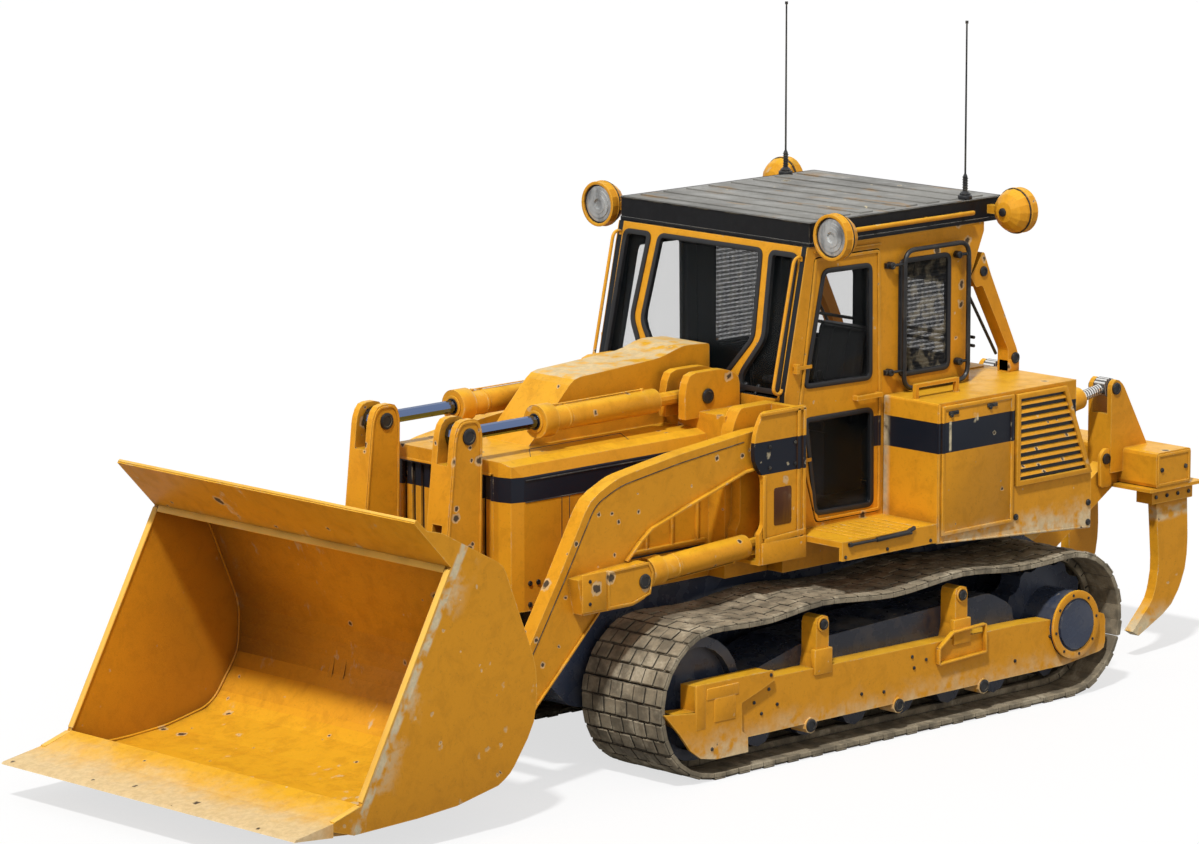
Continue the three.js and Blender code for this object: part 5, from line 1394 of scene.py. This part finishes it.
class LOADER_OT_stage(Step, bpy.types.Operator):
    """Set the floor, the lights and the camera"""

    bl_idname = "loader.stage"
    bl_label = "Stage"

    def execute(self, context):
        scene = context.scene
        clear()
        bpy.ops.mesh.primitive_plane_add(size=400, location=(0, 0, -0.002))
        floor = bpy.context.object
        floor.name = floor.data.name = "floor"
        settled(floor)
        ground = bpy.data.materials.new("pale_floor")
        ground.use_nodes = True
        tree = ground.node_tree
        output = tree.nodes["Material Output"]
        shade = tree.nodes["Principled BSDF"]
        shade.inputs["Roughness"].default_value = 0.9
        glow = tree.nodes.new("ShaderNodeEmission")
        rays = tree.nodes.new("ShaderNodeLightPath")
        tone = tree.nodes.new("ShaderNodeMix")
        tone.data_type = "RGBA"
        tone.inputs[6].default_value = (0.30, 0.30, 0.30, 1)
        tone.inputs[7].default_value = (0.95, 0.95, 0.95, 1)
        tree.links.new(rays.outputs["Is Camera Ray"], tone.inputs[0])
        tree.links.new(tone.outputs[2], shade.inputs["Base Color"])
        seen = tree.nodes.new("ShaderNodeMath")
        seen.operation = "MULTIPLY"
        seen.inputs[1].default_value = 0.70
        blend = tree.nodes.new("ShaderNodeMixShader")
        tree.links.new(rays.outputs["Is Camera Ray"], seen.inputs[0])
        tree.links.new(seen.outputs[0], blend.inputs[0])
        tree.links.new(shade.outputs[0], blend.inputs[1])
        tree.links.new(glow.outputs[0], blend.inputs[2])
        tree.links.new(blend.outputs[0], output.inputs["Surface"])
        floor.data.materials.append(ground)

        world = bpy.data.worlds.new("studio")
        scene.world = world
        world.use_nodes = True
        tree = world.node_tree
        backdrop = tree.nodes["Background"]
        backdrop.inputs["Color"].default_value = (1.0, 0.98, 0.96, 1)
        backdrop.inputs["Strength"].default_value = 0.34
        white = tree.nodes.new("ShaderNodeBackground")
        white.inputs["Color"].default_value = (1, 1, 1, 1)
        rays = tree.nodes.new("ShaderNodeLightPath")
        shown = tree.nodes.new("ShaderNodeMath")
        shown.operation = "MAXIMUM"
        both_rays = tree.nodes.new("ShaderNodeMath")
        both_rays.operation = "MAXIMUM"
        blend = tree.nodes.new("ShaderNodeMixShader")
        tree.links.new(rays.outputs["Is Camera Ray"], both_rays.inputs[0])
        tree.links.new(rays.outputs["Is Glossy Ray"], both_rays.inputs[1])
        tree.links.new(both_rays.outputs[0], shown.inputs[0])
        tree.links.new(rays.outputs["Is Transmission Ray"], shown.inputs[1])
        tree.links.new(shown.outputs[0], blend.inputs[0])
        tree.links.new(backdrop.outputs[0], blend.inputs[1])
        tree.links.new(white.outputs[0], blend.inputs[2])
        tree.links.new(blend.outputs[0], tree.nodes["World Output"].inputs["Surface"])

        for name, toward, energy, spread in (
            ("key_light", (0.30, -0.475, 0.83), 2.75, 4), ("fill_light", (0.80, -0.50, 0.30), 0.25, 40),
        ):
            clear()
            bpy.ops.object.light_add(type="SUN", location=Vector(toward) * 20)
            lamp = bpy.context.object
            lamp.name = name
            lamp.rotation_euler = Vector(toward).to_track_quat("Z", "Y").to_euler()
            lamp.data.energy = energy
            lamp.data.angle = math.radians(spread)

        clear()
        bpy.ops.object.camera_add(location=(28.1629, -27.8469, 9.2419),
                                  rotation=(math.radians(79.7986), 0, math.radians(45.9172)))
        camera = bpy.context.object
        camera.name = "camera"
        camera.data.sensor_fit = "HORIZONTAL"
        camera.data.sensor_width = 36
        camera.data.lens = 177.06
        camera.data.clip_end = 400
        scene.camera = camera
        scene.view_settings.view_transform = "Standard"
        return {"FINISHED"}


class LOADER_PT_steps(bpy.types.Panel):
    """The loader's sizes, colours and steps"""

    bl_idname = "LOADER_PT_steps"
    bl_label = "Loader"
    bl_space_type = "VIEW_3D"
    bl_region_type = "UI"
    bl_category = "Loader"

    def draw(self, context):
        for group in (context.scene.loader_sizes, context.scene.loader_colours):
            column = self.layout.column(align=True)
            for name in group.__annotations__:
                column.prop(group, name)
        for step in STEPS:
            self.layout.operator(step.bl_idname)


STEPS = (
    LOADER_OT_finishes, LOADER_OT_frame_finishes, LOADER_OT_tracks, LOADER_OT_running_gear,
    LOADER_OT_glazing, LOADER_OT_cab_fittings, LOADER_OT_lamps, LOADER_OT_side_boxes,
    LOADER_OT_deck_and_towers, LOADER_OT_hood_details, LOADER_OT_arms, LOADER_OT_linkage,
    LOADER_OT_bucket_details, LOADER_OT_rear, LOADER_OT_operator_place, LOADER_OT_stage,
)
CLASSES = (LoaderSizes, LoaderColours, *STEPS, LOADER_PT_steps)


def register():
    for made in CLASSES:
        bpy.utils.register_class(made)
    bpy.types.Scene.loader_sizes = PointerProperty(type=LoaderSizes)
    bpy.types.Scene.loader_colours = PointerProperty(type=LoaderColours)


def unregister():
    del bpy.types.Scene.loader_colours
    del bpy.types.Scene.loader_sizes
    for made in reversed(CLASSES):
        bpy.utils.unregister_class(made)


def main():
    register()
    for step in STEPS:
        getattr(bpy.ops.loader, step.bl_idname.split(".")[1])()


if __name__ == "__main__":
    main()
